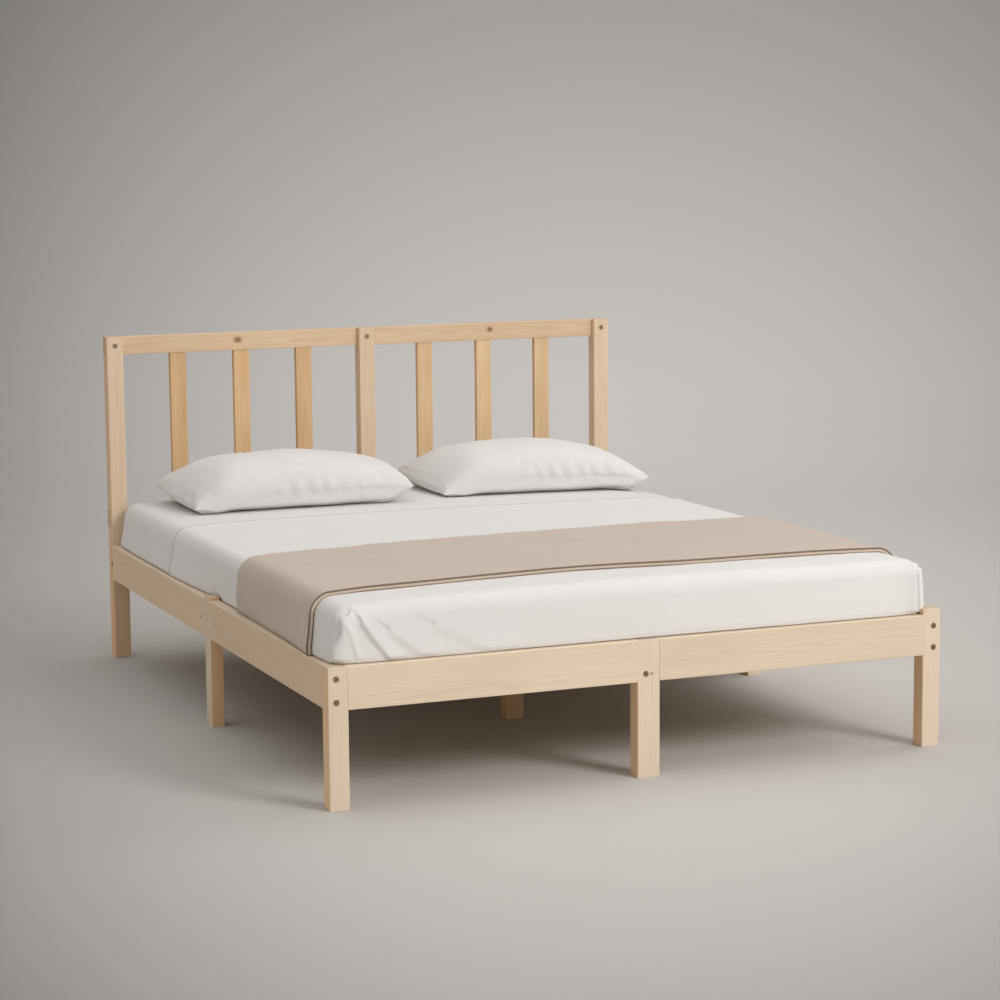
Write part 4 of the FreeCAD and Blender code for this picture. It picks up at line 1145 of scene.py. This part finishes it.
def bed_top(x, y):
    """The level of the fitted sheet's upper side where a pillow lies."""
    return SHOULDER + PILLOW_REST + CROWN * (1 - (x / HALF_WIDE) ** 2) - sag(x, y)


def pillow_axes(x, y):
    """The parts of plan directions that run along the pillow and ahead of it, towards the foot."""
    return (x * math.cos(PILLOW_TURN) + y * math.sin(PILLOW_TURN),
            x * math.sin(PILLOW_TURN) - y * math.cos(PILLOW_TURN))


def settle(piece, middle, form):
    """Flattens the underside up to the front seam, draws the front left corner in and sets the tips."""
    flat, flat_right, tip_left, tip_right = form
    spots, ways = points_of(piece), normals_of(piece)
    along, ahead = pillow_axes(spots[:, 0] - middle.x, spots[:, 1] - middle.y)
    level = bed_top(spots[:, 0], spots[:, 1])
    height = np.maximum(spots[:, 2] - level, 0)
    share = np.clip(1 - height / SEAM_HIGH, 0, 1)
    reach = (1 - share ** CASE_ROUND) ** (1 / CASE_ROUND)
    flatter = SEAM_HIGH * (1 - (1 - reach ** UNDER_ROUND) ** (1 / UNDER_ROUND))
    under = ease(-ways[:, 2], -0.15, 0.3) * ease(ahead, 0.0, 0.12)
    under *= (1 - ease(np.abs(along), 0.27, 0.34)) * (height < SEAM_HIGH)
    height = height + (flatter - height) * under
    height *= 1 - flat - flat_right * ease(along, 0.04, 0.30)
    height += tip_left * ease(-along, 0.20, 0.35) + tip_right * ease(along, 0.24, 0.35)
    spots[:, 2] = level + np.maximum(height, 0)
    drawn = CORNER_DRAWN * ease(-along, 0.10, 0.36) * ease(ahead, -0.12, 0.20)
    spots[:, 0] += drawn * math.cos(PILLOW_TURN)
    spots[:, 1] += drawn * math.sin(PILLOW_TURN)
    set_points(piece, spots)


def gathered(piece, middle, seed):
    """Sews a crease along the front with small gathers above it, and slack over the top."""
    spots, ways = points_of(piece), normals_of(piece)
    along, _ = pillow_axes(spots[:, 0] - middle.x, spots[:, 1] - middle.y)
    _, facing = pillow_axes(ways[:, 0], ways[:, 1])
    height = spots[:, 2] - bed_top(spots[:, 0], spots[:, 1])
    front = ease(facing, 0.15, 0.55) * (1 - ease(along, 0.28, 0.33))
    slow = clouds(np.stack([along, height * 0.3, np.full(len(along), seed * 3.7)], 1), 0.12, 2)
    wave = np.sin(along * 2 * math.pi / PLEAT_PITCH + height * 14 + slow * 2.6)
    above = ease(height, CREASE_HIGH, 0.056) * (1 - ease(height, 0.058, 0.105))
    crease = np.exp(-((height - CREASE_HIGH) / CREASE_WIDE) ** 2) * ease(along, -0.16, -0.02)
    gathers = wave * (0.5 + 0.5 * np.clip(slow * 1.5, -0.6, 1)) * above * ease(along, -0.10, 0.02)
    out = (PLEAT_HIGH * gathers - CREASE_DEEP * crease) * front
    out += TOP_SLACK * clouds(spots, 0.13, 3) * ease(height, 0.03, 0.08)
    set_points(piece, spots + ways * out[:, None])


print("pillow form ready")

# %% [markdown]
# Both pillows are made by one function. They differ in the seed of their gathers and in four numbers: how
# much the whole pillow and its right end are flattened, and how far its left and right tips are moved up.
# A subdivision rounds the finished skin.

# %% Pillows
PILLOW_VOXEL, DRAWN_IN, SHEET_CLEAR = 0.006, 0.004, 0.0006


def pillow(node, name, body, seed, form):
    piece = copy_of(node, name)
    low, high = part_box(node)
    middle = (low + high) / 2
    even_skin(piece, PILLOW_VOXEL)
    settle(piece, middle, form)
    set_points(piece, points_of(piece) - normals_of(piece) * DRAWN_IN)
    blown(piece)
    gathered(piece, middle, seed)
    spots = points_of(piece)
    spots[:, 2] = np.maximum(spots[:, 2], bed_top(spots[:, 0], spots[:, 1]) + SHEET_CLEAR)
    set_points(piece, spots)
    only(piece)
    soft = piece.modifiers.new("soft", "SUBSURF")
    soft.levels = soft.render_levels = 1
    bpy.ops.object.modifier_apply(modifier=soft.name)
    bpy.ops.object.shade_smooth()
    put_on(piece, pillow_cotton)
    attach(piece, body)
    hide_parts(node)
    print(name, "faces", len(piece.data.polygons))


pillow("pillow_left", "left_pillow_case", "left_pillow", 1, (0.0, 0.09, -0.008, 0.006))
pillow("pillow_right", "right_pillow_case", "right_pillow", 2, (0.047, 0.16, -0.010, -0.010))
